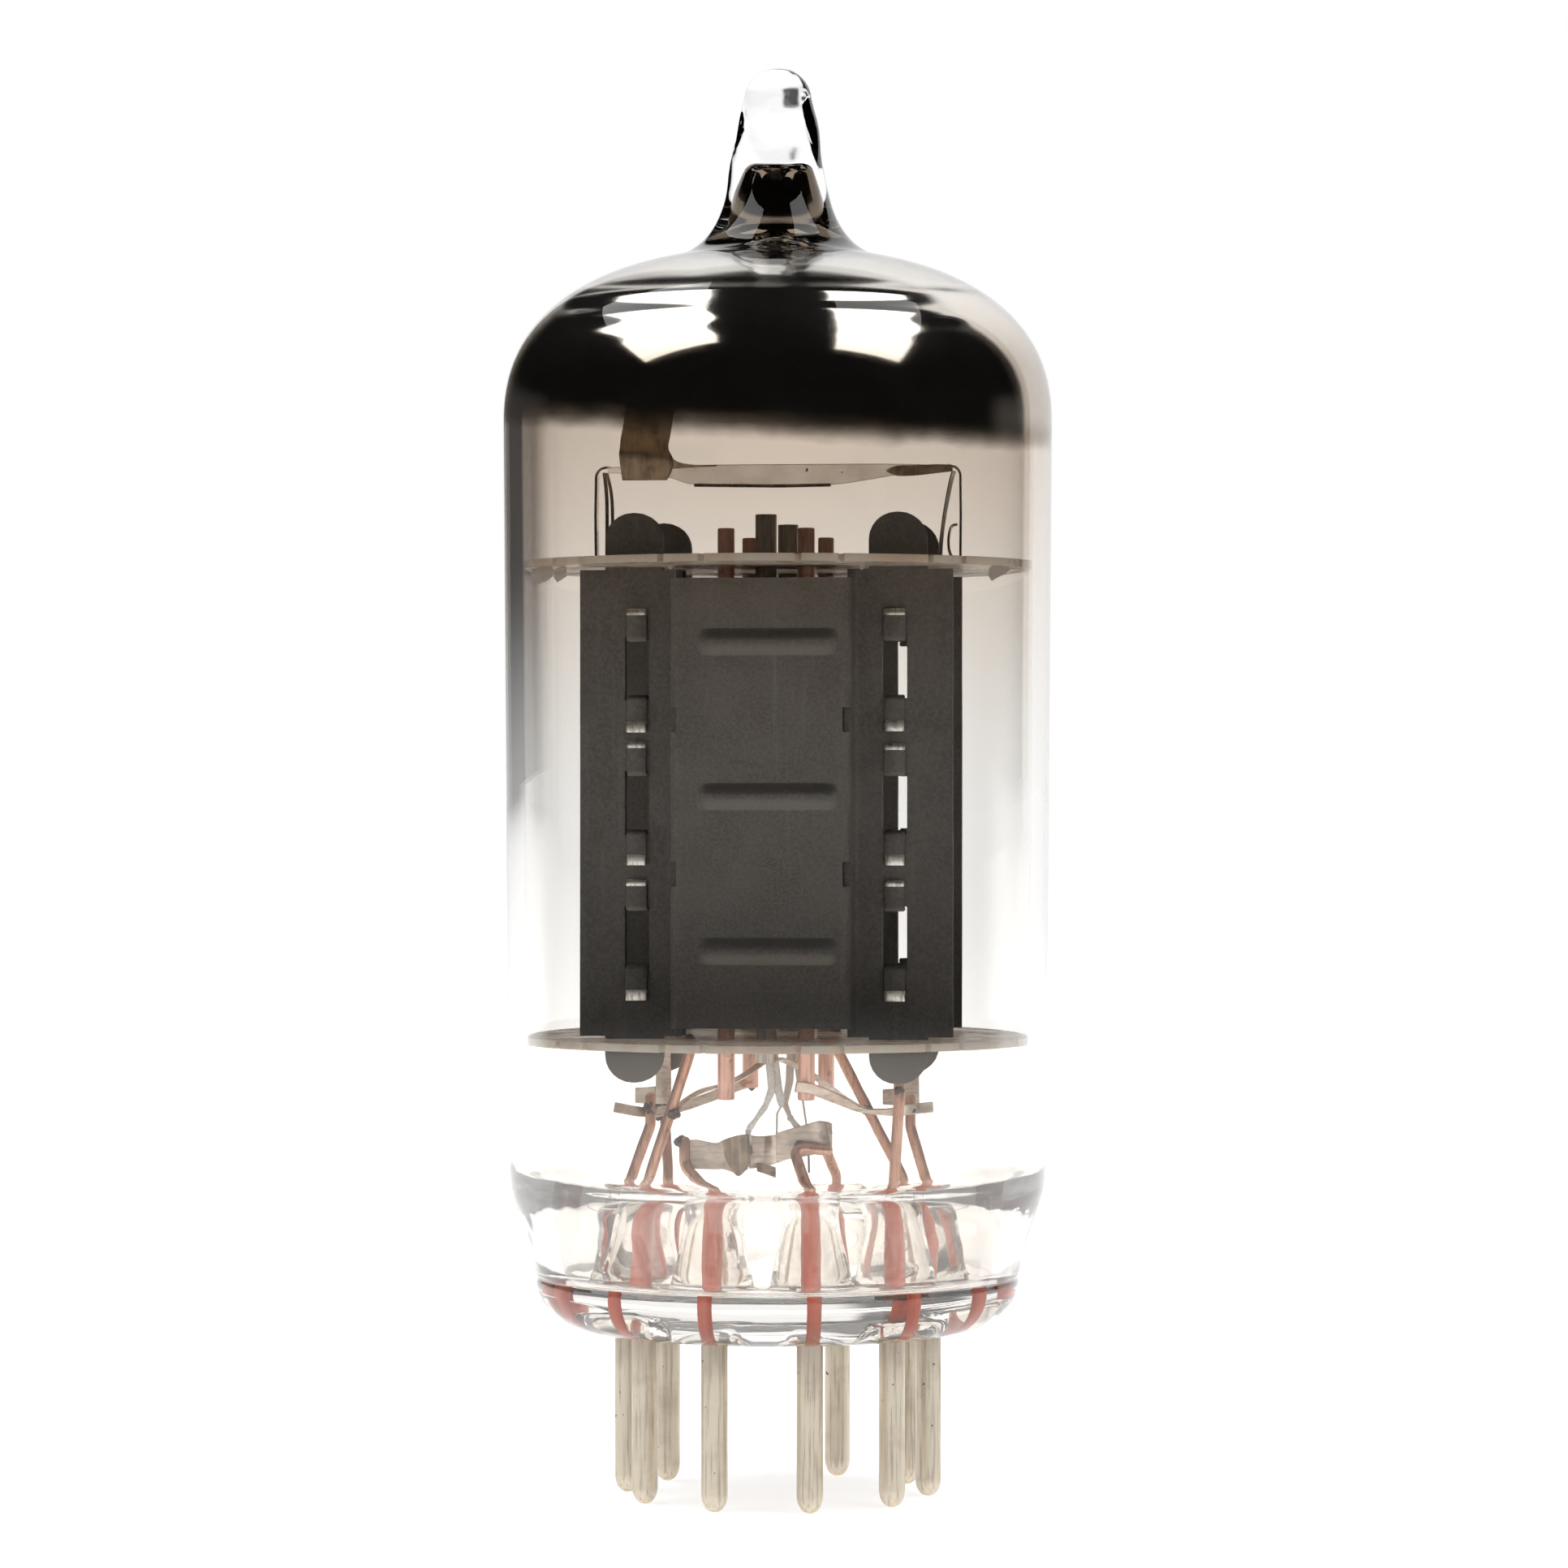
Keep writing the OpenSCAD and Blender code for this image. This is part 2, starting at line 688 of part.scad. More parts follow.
module cathode(unit) {
    color(nickel_colour)
        translate([0, unit_side(unit) * unit_y, sleeve_low_z])
            difference() {
                cylinder(h = sleeve_top_z - sleeve_low_z, d = sleeve_d);
                translate([0, 0, -eps])
                    cylinder(h = sleeve_top_z - sleeve_low_z + 2 * eps, d = sleeve_d - 2 * sleeve_t);
            }
}

// A coated hairpin in the sleeve, whose bare ends run down to the heater strips
heater_out = 0.4;
bare_stub = 0.4;
bare_rise = 1;
bare_share = 0.35;
bare_bend_r = 0.15;
coat_bend_r = 0.3;
module heater(unit, feet) {
    leg_x = (heater_d + heater_gap) / 2;
    top_z = sleeve_top_z - heater_sink;
    knee_z = sleeve_low_z - heater_out;
    coat_end_z = strip_z + bare_rise;
    coat_r = heater_d / 2;
    bare_r = bare_d / 2;
    c = [0, unit_side(unit) * unit_y];
    // From the strip up to the leg's place in the sleeve
    function leg(side, foot) =
        let (
            in_sleeve = c + [side * leg_x, 0],
            foot_xy = [foot[0], foot[1]],
            coat_end = in_sleeve + bare_share * (foot_xy - in_sleeve)
        )
        [
            rounded([foot, foot + [0, 0, bare_stub], at(coat_end, coat_end_z)], bare_bend_r),
            rounded([at(coat_end, coat_end_z), at(in_sleeve, knee_z), at(in_sleeve, sleeve_low_z + past)],
                coat_bend_r)
        ];
    function both(legs) = concat(legs[0], legs[1]);
    function leg_radii(legs) = concat([for (p = legs[0]) bare_r], [for (p = legs[1]) coat_r]);
    left = leg(-1, feet[0]);
    right = leg(1, feet[1]);
    bend = [for (i = [0:cap_steps]) at(c - [leg_x * cos(180 * i / cap_steps), 0],
        top_z - leg_x + leg_x * sin(180 * i / cap_steps))];
    color(coat_colour)
        wire(concat(both(left), bend, reversed(both(right))),
            concat(leg_radii(left), [for (p = bend) coat_r], reversed(leg_radii(right))), heater_facets);
}

// Direction of the line that touches two circles, the first on the side s1 and the second on s2
function touch_angle(c1, r1, s1, c2, r2, s2) =
    atan2(c2[1] - c1[1], c2[0] - c1[0]) + asin((s2 * r2 - s1 * r1) / norm(c2 - c1));

// A flat strap that touches two upright rods and runs on beyond each of them.
// A side of 1 puts the strap on the left of a rod, seen along the strap, and -1 on its right.
module strap(c1, r1, z1, c2, r2, z2, side, across, tall, beyond) {
    reach1 = r1 + weld_gap + across / 2;
    reach2 = r2 + weld_gap + across / 2;
    turn = touch_angle(c1, reach1, side, c2, reach2, side);
    span = norm(c2 - c1) * cos(asin((reach1 - reach2) / norm(c2 - c1)));
    pitch = atan((z2 - z1) / span);
    offset_xy = side * reach1 * [-sin(turn), cos(turn)];
    translate(at(c1 + offset_xy, z1))
        rotate([0, 0, turn])
            rotate([0, -pitch, 0])
                translate([-beyond[0], -across / 2, -tall / 2])
                    cube([span / cos(pitch) + beyond[0] + beyond[1], across, tall]);
}

// Heights of the welds on the leads, the posts and the sleeves
grid_weld_drop = 2.7;
cathode_lead_drop = 2.6;
post_weld_rise = 0.1;
sleeve_weld_rise = 0.15;
grid_weld_z = mica_low_z - grid_weld_drop;
post_weld_z = mica_low_z - post_down + strap_w / 2 + post_weld_rise;
cathode_lead_z = mica_low_z - cathode_lead_drop;
cathode_weld_z = sleeve_low_z + sleeve_weld_rise;

// Tops of the leads that stand clear of the cage, and how far each bends and ends from what it meets
lead_2_top = [-5.05, 0];
lead_4_top = [-3.05, -4.85];
lead_5_top = [1.1, -4.9];
lead_7_top = [5.25, -0.1];
lead_9_top = [1.5, 4.8];
lead_1_bend_drop = 3.2;
lead_1_end_drop = 0.15;
lead_6_bend_drop = 2;
lead_6_end_drop = 0.4;
hole_bend_drop = 0.3;
weld_bend_drop = 0.6;
weld_end_rise = 0.5;
lead_4_bend_rise = 0.1;
hook_sink = 0.2;

// Ends of the leads: the place, the height of the last bend and the height of the end
tab_x = 5.05;
tab_y = unit_y - sheet_t - weld_gap;
lead_end_1 = [[-tab_x, tab_y + weld_gap + wire_r], mica_low_z - lead_1_bend_drop,
    mica_low_z - ear_down - lead_1_end_drop];
lead_end_2 = [lead_2_top, grid_weld_z - weld_bend_drop, grid_weld_z + weld_end_rise];
lead_end_3 = [lead_3_hole, mica_low_z - hole_bend_drop, cage_z];
lead_end_4 = [lead_4_top, strip_z - strip_w + lead_4_bend_rise, strip_z];
lead_end_5 = [lead_5_top, strip_z - hook_sink];
lead_end_6 = [[ear_x, sheet_t + weld_gap + wire_r - unit_y], mica_low_z - lead_6_bend_drop,
    mica_low_z - lead_6_end_drop];
lead_end_7 = [lead_7_top, grid_weld_z - weld_bend_drop, grid_weld_z + weld_end_rise];
lead_end_8 = [lead_8_hole, mica_low_z - hole_bend_drop, cage_z];
lead_end_9 = [lead_9_top, strip_z - strip_w, strip_z];
hook_len = 1.35;
hook_drop = 0.15;
hook_r = 0.3;

// Path of a lead from its seal, with an upright stretch at each end
stub = 0.5;
function lead_path(n, end) =
    [at(pin_xy(n), boss_z), at(pin_xy(n), boss_z + stub), at(end[0], end[1]), at(end[0], end[2])];

module lead_wire(path, r) {
    points = rounded(path, r);
    color(copper_colour)
        wire(points, [for (p = points) wire_r], lead_facets);
}

module lead(n, end) {
    lead_wire(lead_path(n, end), lead_bend_r);
}

// The fifth lead ends in a hook along the heater strip
module hooked_lead() {
    hook = at(lead_end_5[0], lead_end_5[1]);
    lead_wire([at(pin_xy(5), boss_z), at(pin_xy(5), boss_z + stub), hook, hook + [hook_len, 0, -hook_drop]],
        hook_r);
}

// Place of a slanted lead at a height
function lead_at(n, end, z) =
    let (foot_z = boss_z + stub)
    pin_xy(n) + (end[0] - pin_xy(n)) * (z - foot_z) / (end[1] - foot_z);

lead_3_weld = lead_at(3, lead_end_3, cathode_lead_z);
lead_8_weld = lead_at(8, lead_end_8, cathode_lead_z);

// Lengths of the straps past their welds
grid_strap_1_past = [1.5, 0.5];
grid_strap_2_past = [0.4, 1];
cathode_strap_1_past = [0.3, 0.2];
cathode_strap_2_past = [0.2, 0.9];

module grid_strap_1() {
    color(nickel_colour)
        strap(lead_end_2[0], wire_r, grid_weld_z, [-post_pitch / 2, unit_y], post_r, post_weld_z,
            1, strap_t, strap_w, grid_strap_1_past);
}

module grid_strap_2() {
    color(nickel_colour)
        strap([post_pitch / 2, -unit_y], post_r, post_weld_z, lead_end_7[0], wire_r, grid_weld_z,
            -1, strap_t, strap_w, grid_strap_2_past);
}

// The cathode straps lie flat, so their edges touch the sleeve and the slanted lead
slant_play = 0.06;

module cathode_strap_1() {
    color(nickel_colour)
        strap(lead_3_weld, wire_r + slant_play, cathode_lead_z, [0, unit_y], sleeve_d / 2, cathode_weld_z,
            -1, strap_w, strap_t, cathode_strap_1_past);
}

module cathode_strap_2() {
    color(nickel_colour)
        strap([0, -unit_y], sleeve_d / 2, cathode_weld_z, lead_8_weld, wire_r + slant_play, cathode_lead_z,
            1, strap_w, strap_t, cathode_strap_2_past);
}

// A bent tab under an ear of the back anode
tab_clear = 0.3;
tab_foot_w = 0.85;
tab_foot_h = 0.65;
module anode_tab(x) {
    color(nickel_colour)
        translate([x - tab_w / 2, tab_y - tab_t, mica_low_z - tab_drop]) {
            cube([tab_w, tab_t, tab_drop - tab_clear]);
            translate([-tab_foot_w, 0, 0])
                cube([tab_foot_w + eps, tab_t, tab_foot_h]);
        }
}

// Heater strips stand on edge with their tops level
strip_front_y = lead_end_4[0][1] + wire_r + weld_gap;
strip_left_x = [lead_end_4[0][0] - wire_r, -0.65];
strip_fold_w = 0.8;
strip_fold_extra = 0.25;
strip_fold_gap = 0.06;
module heater_strip_left() {
    color(nickel_colour)
        translate([strip_left_x[1], strip_front_y, strip_z - strip_w]) {
            translate([strip_left_x[0] - strip_left_x[1], 0, 0])
                cube([strip_left_x[1] - strip_left_x[0], strip_t, strip_w]);
            translate([-strip_fold_w, -strip_t - strip_fold_gap, -strip_fold_extra])
                cube([strip_fold_w, strip_t, strip_w + strip_fold_extra]);
            translate([-strip_t, -strip_t - strip_fold_gap, 0])
                cube([strip_t, strip_t + strip_fold_gap + eps, strip_w]);
        }
}

// The right strip stands behind the hook and runs back from its left end
strip_right_y = lead_end_5[0][1] + wire_r + weld_gap;
strip_right_x = [1.5, 2.6];
strip_return = 2.2;
module heater_strip_right() {
    color(nickel_colour)
        translate([strip_right_x[0], strip_right_y, strip_z - strip_right_w]) {
            cube([strip_right_x[1] - strip_right_x[0], strip_t, strip_right_w]);
            cube([strip_t, strip_return, strip_right_w]);
        }
}

// The common strip runs from the front to the ninth lead at the back and folds round in front of it
common_rise = 0.12;
common_front = [-0.4, -4.1];
common_fold = lead_end_9[0] - [0.45, wire_r + weld_gap + strip_t / 2];
common_end = 0.7;
common_heading = heading(common_front, common_fold);
common_z = strip_z + common_rise - strip_w;
function common_at(s) = common_front + s * common_heading;
module heater_strip_common() {
    color(nickel_colour) {
        translate(at(common_front, common_z))
            rotate([0, 0, atan2(common_heading[1], common_heading[0])])
                translate([0, -strip_t / 2, 0])
                    cube([norm(common_fold - common_front), strip_t, strip_w]);
        translate(at(common_fold - [strip_t / 2, strip_t / 2], common_z))
            cube([common_end + strip_t / 2, strip_t, strip_w]);
    }
}

// Feet of the heaters on the strips, the left one first
heater_1_feet = [at(common_at(5.3), strip_z + common_rise),
    at([strip_right_x[0] + strip_t / 2, strip_right_y + strip_return - 0.4], strip_z)];
heater_2_feet = [at([strip_left_x[1], strip_front_y + strip_t / 2] - [strip_t / 2, 0], strip_z),
    at(common_at(2.7), strip_z + common_rise)];

// Getter band with its legs through the upper mica
band_corner = 0.6;
arch_start = 0.55;
arch_end = 0.45;
module getter_band() {
    half = band_w / 2;
    arch = bezier_points([half - band_leg_w, band_h - band_thin], [arch_start * half, band_h - band_thin],
        [arch_end * half, band_h - band_deep], [0, band_h - band_deep], flare_steps);
    under = concat([[half - band_leg_w, band_h - band_thin]], arch);
    color(nickel_colour)
        translate([0, band_t / 2, roof_z])
            rotate([90, 0, 0])
                linear_extrude(band_t)
                    polygon(concat([[half, -mica_t], [half, band_h - band_corner],
                        [half - band_corner, band_h], [band_corner - half, band_h],
                        [-half, band_h - band_corner], [-half, -mica_t], [band_leg_w - half, -mica_t]],
                        [for (p = under) [-p[0], p[1]]], reversed([for (p = under) if (p[0] > eps) p]),
                        [[half - band_leg_w, -mica_t]]));
}

getter_z = roof_z + band_h + getter_rise;
post_front_y = -band_t / 2 - weld_gap;

post_hang = 0.55;
post_tongue = 1.9;
module getter_post() {
    foot_z = roof_z + band_h - post_hang;
    color(nickel_colour)
        translate([-getter_post_x - getter_post_w / 2, post_front_y - band_t, 0]) {
            translate([0, 0, foot_z])
                cube([getter_post_w, band_t, getter_z - weld_gap - foot_z]);
            translate([0, 0, getter_z - weld_gap - band_t])
                cube([getter_post_w + post_tongue, 2 * band_t, band_t]);
        }
}

module getter_ring() {
    outer = getter_d / 2;
    color(nickel_colour)
        translate([0, 0, getter_z])
            rotate_extrude($fn = 96)
                difference() {
                    translate([outer - channel_w, 0])
                        square([channel_w, channel_h]);
                    translate([outer - channel_w + channel_t, channel_t])
                        square([channel_w - 2 * channel_t, channel_h]);
                }
}

glass_bulb();
stem_base();
getter_mirror();
getter_ring();
getter_post();
getter_band();
mica_top();
mica_bottom();
anode_outer(1);  // anode_1_outer
anode_inner(1);  // anode_1_inner
anode_outer(2);  // anode_2_outer
anode_inner(2);  // anode_2_inner
grid(1);  // grid_1
grid(2);  // grid_2
cathode(1);  // cathode_1
cathode(2);  // cathode_2
heater(1, heater_1_feet);  // heater_1
heater(2, heater_2_feet);  // heater_2
heater_strip_left();
heater_strip_right();
heater_strip_common();
grid_strap_1();
grid_strap_2();
cathode_strap_1();
cathode_strap_2();
anode_tab(-tab_x);  // anode_tab_1
anode_tab(tab_x);  // anode_tab_2
pin(1);  // pin_1
pin(2);  // pin_2
pin(3);  // pin_3
pin(4);  // pin_4
pin(5);  // pin_5
pin(6);  // pin_6
pin(7);  // pin_7
pin(8);  // pin_8
pin(9);  // pin_9
seal(1);  // seal_1
seal(2);  // seal_2
seal(3);  // seal_3
seal(4);  // seal_4
seal(5);  // seal_5
seal(6);  // seal_6
seal(7);  // seal_7
seal(8);  // seal_8
seal(9);  // seal_9
lead(1, lead_end_1);  // lead_1
lead(2, lead_end_2);  // lead_2
lead(3, lead_end_3);  // lead_3
lead(4, lead_end_4);  // lead_4
hooked_lead();  // lead_5
lead(6, lead_end_6);  // lead_6
lead(7, lead_end_7);  // lead_7
lead(8, lead_end_8);  // lead_8
lead(9, lead_end_9);  // lead_9
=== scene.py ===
import math
import random

import bpy
from mathutils import Matrix, Vector, noise


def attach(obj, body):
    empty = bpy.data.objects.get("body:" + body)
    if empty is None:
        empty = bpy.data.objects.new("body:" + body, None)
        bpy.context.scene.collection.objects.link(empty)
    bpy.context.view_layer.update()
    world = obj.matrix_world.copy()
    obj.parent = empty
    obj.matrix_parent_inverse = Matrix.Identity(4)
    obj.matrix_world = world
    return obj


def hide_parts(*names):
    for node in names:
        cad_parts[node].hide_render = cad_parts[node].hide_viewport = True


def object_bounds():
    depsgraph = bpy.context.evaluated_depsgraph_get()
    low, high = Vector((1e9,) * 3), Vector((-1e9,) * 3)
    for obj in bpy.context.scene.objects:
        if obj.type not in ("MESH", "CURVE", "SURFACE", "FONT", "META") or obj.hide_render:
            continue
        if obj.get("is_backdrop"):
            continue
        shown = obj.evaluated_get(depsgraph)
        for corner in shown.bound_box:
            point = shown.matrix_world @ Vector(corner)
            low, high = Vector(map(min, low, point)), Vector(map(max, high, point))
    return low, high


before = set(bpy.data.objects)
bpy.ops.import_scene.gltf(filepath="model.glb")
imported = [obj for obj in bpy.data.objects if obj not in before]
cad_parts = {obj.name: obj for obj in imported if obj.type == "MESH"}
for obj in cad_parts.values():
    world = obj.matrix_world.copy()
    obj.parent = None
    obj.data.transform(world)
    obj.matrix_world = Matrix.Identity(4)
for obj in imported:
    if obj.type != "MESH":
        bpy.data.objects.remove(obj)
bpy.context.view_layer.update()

# ---------------------------------------------------------------------------------------------
# Contact pins: nine straight nickel wires, drawn to size, cut off and tumbled to a bullet tip.
# They stand on one circle with one of ten places left open, and their heads are pressed into
# the glass stem.
MM = 0.001
PIN_COUNT, PIN_STEP = 9, 36     # a tenth of a turn, in degrees, from pin to pin
PIN_CIRCLE_R, PIN_R = 5.945, 0.508
PIN_TIP = 0.72                  # height of the bullet tip
GLASS_UNDER = 6.5               # height of the stem's underside over the pins' tips
PIN_HEAD = 7.1                  # where a pin ends inside the glass
SEAL_R = 0.25


def pin_place(n):
    """Where a pin stands: the open place is at the back, between pins 9 and 1."""
    turn = math.radians((n - PIN_COUNT / 2) * PIN_STEP)
    return PIN_CIRCLE_R * math.sin(turn), -PIN_CIRCLE_R * math.cos(turn)


def add(tree, kind, wires=None, **settings):
    """A shader node with its settings, its plain values and its links."""
    node = tree.nodes.new(kind)
    for key, value in settings.items():
        setattr(node, key, value)
    for key, value in (wires or {}).items():
        if isinstance(value, bpy.types.NodeSocket):
            tree.links.new(value, node.inputs[key])
        else:
            node.inputs[key].default_value = value
    return node


def maths(tree, kind, *values):
    """One step of arithmetic on values or links."""
    return add(tree, "ShaderNodeMath", dict(enumerate(values)), operation=kind).outputs[0]


def effect(name, inputs, outputs):
    """An empty effect group with its named inputs and outputs."""
    tree = bpy.data.node_groups.new(name, "ShaderNodeTree")
    for label, default in inputs.items():
        tree.interface.new_socket(label, in_out="INPUT", socket_type="NodeSocketFloat").default_value = default
    for label in outputs:
        tree.interface.new_socket(label, in_out="OUTPUT", socket_type="NodeSocketFloat")
    return tree, tree.nodes.new("NodeGroupInput").outputs, tree.nodes.new("NodeGroupOutput").inputs


def use(tree, group, **values):
    """An effect group placed in a material with that material's own values."""
    node = add(tree, "ShaderNodeGroup", node_tree=group)
    for key, value in values.items():
        node.inputs[key.replace("_", " ")].default_value = value
    return node


def millimetres(tree):
    """Where a point of the surface lies, in millimetres from the foot of the tube's axis."""
    place = add(tree, "ShaderNodeTexCoord").outputs["Object"]
    return add(tree, "ShaderNodeVectorMath", {0: place, "Scale": 1000.0}, operation="SCALE").outputs[0]


def stretched(tree, across, along, shift):
    """Millimetres drawn out along the height, for marks that run up and down."""
    factors = add(tree, "ShaderNodeCombineXYZ", {"X": across, "Y": across, "Z": along}).outputs[0]
    drawn = add(tree, "ShaderNodeVectorMath", {0: millimetres(tree), 1: factors}, operation="MULTIPLY")
    moved = add(tree, "ShaderNodeCombineXYZ", {"X": shift, "Y": shift, "Z": shift}).outputs[0]
    return add(tree, "ShaderNodeVectorMath", {0: drawn.outputs[0], 1: moved}, operation="ADD").outputs[0]


def window_of(tree, value, low, high):
    """Nought below one level of a value, one above the other, and smooth between them."""
    wires = {"Value": value, "From Min": low, "From Max": high}
    return add(tree, "ShaderNodeMapRange", wires, interpolation_type="SMOOTHSTEP").outputs["Result"]


# Marks group: fine lines left by drawing, rolling or wiping, with patches where they fade
marks_group, given, made = effect(
    "fine marks", {"Across per mm": 8.0, "Along per mm": 0.3, "Low": 0.45, "High": 0.62, "Shift": 0.0},
    ("Mask", "Height"))
lines = add(marks_group, "ShaderNodeTexNoise", {
    "Vector": stretched(marks_group, given["Across per mm"], given["Along per mm"], given["Shift"]),
    "Scale": 1.0, "Detail": 3.0, "Roughness": 0.6}).outputs["Fac"]
mask = window_of(marks_group, lines, given["Low"], given["High"])
marks_group.links.new(mask, made["Mask"])
marks_group.links.new(lines, made["Height"])

# Clouds group: soft patches of another shade, such as heat colour, stain or uneven coat
clouds_group, given, made = effect(
    "clouds", {"Per mm": 1.0, "Detail": 4.0, "Low": 0.4, "High": 0.65, "Shift": 0.0},
    ("Mask", "Height"))
patches = add(clouds_group, "ShaderNodeTexNoise", {
    "Vector": stretched(clouds_group, given["Per mm"], given["Per mm"], given["Shift"]),
    "Scale": 1.0, "Detail": given["Detail"], "Roughness": 0.55}).outputs["Fac"]
clouds_group.links.new(window_of(clouds_group, patches, given["Low"], given["High"]), made["Mask"])
clouds_group.links.new(patches, made["Height"])

# Level group: how far a point is between two heights of the tube
level_group, given, made = effect("level", {"From mm": 0.0, "To mm": 1.0}, ("Mask",))
height = add(level_group, "ShaderNodeSeparateXYZ", {0: millimetres(level_group)}).outputs["Z"]
level_group.links.new(window_of(level_group, height, given["From mm"], given["To mm"]), made["Mask"])


def finish(name, **plain):
    """A new material, its node tree and its principled shader with the plain values set."""
    material = bpy.data.materials.new(name)
    material.use_nodes = True
    shader = material.node_tree.nodes["Principled BSDF"]
    for key, value in plain.items():
        shader.inputs[key.replace("_", " ")].default_value = value
    return material, material.node_tree, shader


def paint(tree, share, under, over):
    """One colour laid over another by a mask."""
    mix = tree.nodes.new("ShaderNodeMix")
    mix.data_type = "RGBA"
    for place, value in ((0, share), (6, under), (7, over)):
        if isinstance(value, bpy.types.NodeSocket):
            tree.links.new(value, mix.inputs[place])
        else:
            mix.inputs[place].default_value = (*value, 1.0) if isinstance(value, tuple) else value
    return mix.outputs[2]


def between(tree, share, low, high):
    """A value from low to high by a mask."""
    return add(tree, "ShaderNodeMapRange", {"Value": share, "To Min": low, "To Max": high}).outputs["Result"]


def tinted(tree, colour, marks, most, tint):
    """A colour with a tint over it, at most so far, where an effect's marks are."""
    return paint(tree, between(tree, marks.outputs["Mask"], 0.0, most), colour, tint)


def dent(tree, shader, height, depth, strength=1.0, base=None):
    """A bump as deep as depth, in metres."""
    wires = {"Height": height, "Distance": depth, "Strength": strength}
    if base is not None:
        wires["Normal"] = base
    bump = add(tree, "ShaderNodeBump", wires).outputs["Normal"]
    tree.links.new(bump, shader.inputs["Normal"])
    return bump


def colour_and_polish(tree, shader, colour, roughness=None):
    """A finish's colour and, where it varies, its roughness."""
    tree.links.new(colour, shader.inputs["Base Color"])
    if roughness is not None:
        tree.links.new(roughness, shader.inputs["Roughness"])


def turned(profile, around, centre=(0.0, 0.0)):
    """Points and faces of a form turned on a lathe, from (radius, height) pairs."""
    points, rows = [], []
    for r, z in profile:
        if r < 1e-6:
            rows.append([len(points)])
            points.append((centre[0], centre[1], z))
        else:
            rows.append(list(range(len(points), len(points) + around)))
            for k in range(around):
                turn = math.tau * k / around
                points.append((centre[0] + r * math.cos(turn), centre[1] + r * math.sin(turn), z))
    faces = []
    for low, high in zip(rows, rows[1:]):
        for k in range(around):
            m = (k + 1) % around
            if len(low) == 1 and len(high) > 1:
                faces.append((low[0], high[m], high[k]))
            elif len(high) == 1 and len(low) > 1:
                faces.append((low[k], low[m], high[0]))
            elif len(low) > 1:
                faces.append((low[k], low[m], high[m], high[k]))
    return points, faces


def arc(centre, rx, rz, start, stop, steps):
    """Points on part of an ellipse, angles in degrees from the first axis."""
    return [(centre[0] + rx * math.cos(math.radians(start + (stop - start) * i / steps)),
             centre[1] + rz * math.sin(math.radians(start + (stop - start) * i / steps)))
            for i in range(steps + 1)]


def joined(*forms):
    """Several forms as one list of points and one of faces."""
    points, faces = [], []
    for some_points, some_faces in forms:
        start = len(points)
        points += some_points
        faces += [tuple(start + i for i in face) for face in some_faces]
    return points, faces


def piece(name, form, finishes, nodes=(), crease=38, parts=None):
    """A solid from points in millimetres, smooth between its creases, in place of its CAD nodes."""
    points, faces = form
    mesh = bpy.data.meshes.new(name)
    mesh.from_pydata([(x * MM, y * MM, z * MM) for x, y, z in points], [], faces)
    mesh.update()
    mesh.shade_smooth()
    mesh.set_sharp_from_angle(angle=math.radians(crease))
    for material in finishes if isinstance(finishes, (list, tuple)) else [finishes]:
        mesh.materials.append(material)
    if parts is not None:
        mesh.polygons.foreach_set("material_index", parts)
    made = bpy.data.objects.new(name, mesh)
    bpy.context.scene.collection.objects.link(made)
    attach(made, "root")
    if nodes:
        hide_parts(*nodes)
    return made


pin_nickel, tree, shader = finish("drawn pin nickel", Metallic=1.0)
scratches = use(tree, marks_group, Across_per_mm=9.0, Along_per_mm=0.35, Low=0.5, High=0.66)
stains = use(tree, clouds_group, Per_mm=0.55, Low=0.48, High=0.7, Shift=3.0)
specks = use(tree, clouds_group, Per_mm=3.2, Detail=2.0, Low=0.72, High=0.76, Shift=9.0)
# The pins are painted darker towards the top, just under the glass.
pin_top_darkening = use(tree, level_group, From_mm=4.6, To_mm=6.6)
colour = paint(tree, stains.outputs["Mask"], (0.76, 0.68, 0.55), (0.62, 0.54, 0.43))
colour = tinted(tree, colour, pin_top_darkening, 0.6, (0.36, 0.29, 0.25))
colour = tinted(tree, colour, scratches, 0.45, (0.3, 0.25, 0.2))
colour = paint(tree, specks.outputs["Mask"], colour, (0.16, 0.09, 0.04))
colour_and_polish(tree, shader, colour, between(tree, scratches.outputs["Height"], 0.3, 0.55))
dent(tree, shader, scratches.outputs["Height"], 0.00002, 0.6)

pin_profile = [(0.0, 0.0)]
pin_profile += [(PIN_R * math.sin(math.radians(a)) ** 0.85, PIN_TIP * (1 - math.cos(math.radians(a))))
                for a in range(8, 91, 8)]
pin_profile += [(PIN_R, PIN_TIP + (GLASS_UNDER - PIN_TIP) * i / 6) for i in range(1, 7)]
pin_profile += [(PIN_R, PIN_HEAD - 0.2), (PIN_R - 0.08, PIN_HEAD - 0.06), (SEAL_R + 0.04, PIN_HEAD),
                (0.0, PIN_HEAD)]
for n in range(1, PIN_COUNT + 1):
    piece("contact_pin_%d" % n, turned(pin_profile, 40, pin_place(n)), pin_nickel, ["pin_%d" % n],
          crease=50)

# ---------------------------------------------------------------------------------------------
# Seal wires: nine short wires with a copper skin that wets the glass and carries the current
# through it. Oxide under the glass makes them salmon red. Each is butt-welded to its pin.
BOSS_TOP = 11.3                 # height of the glass round each lead

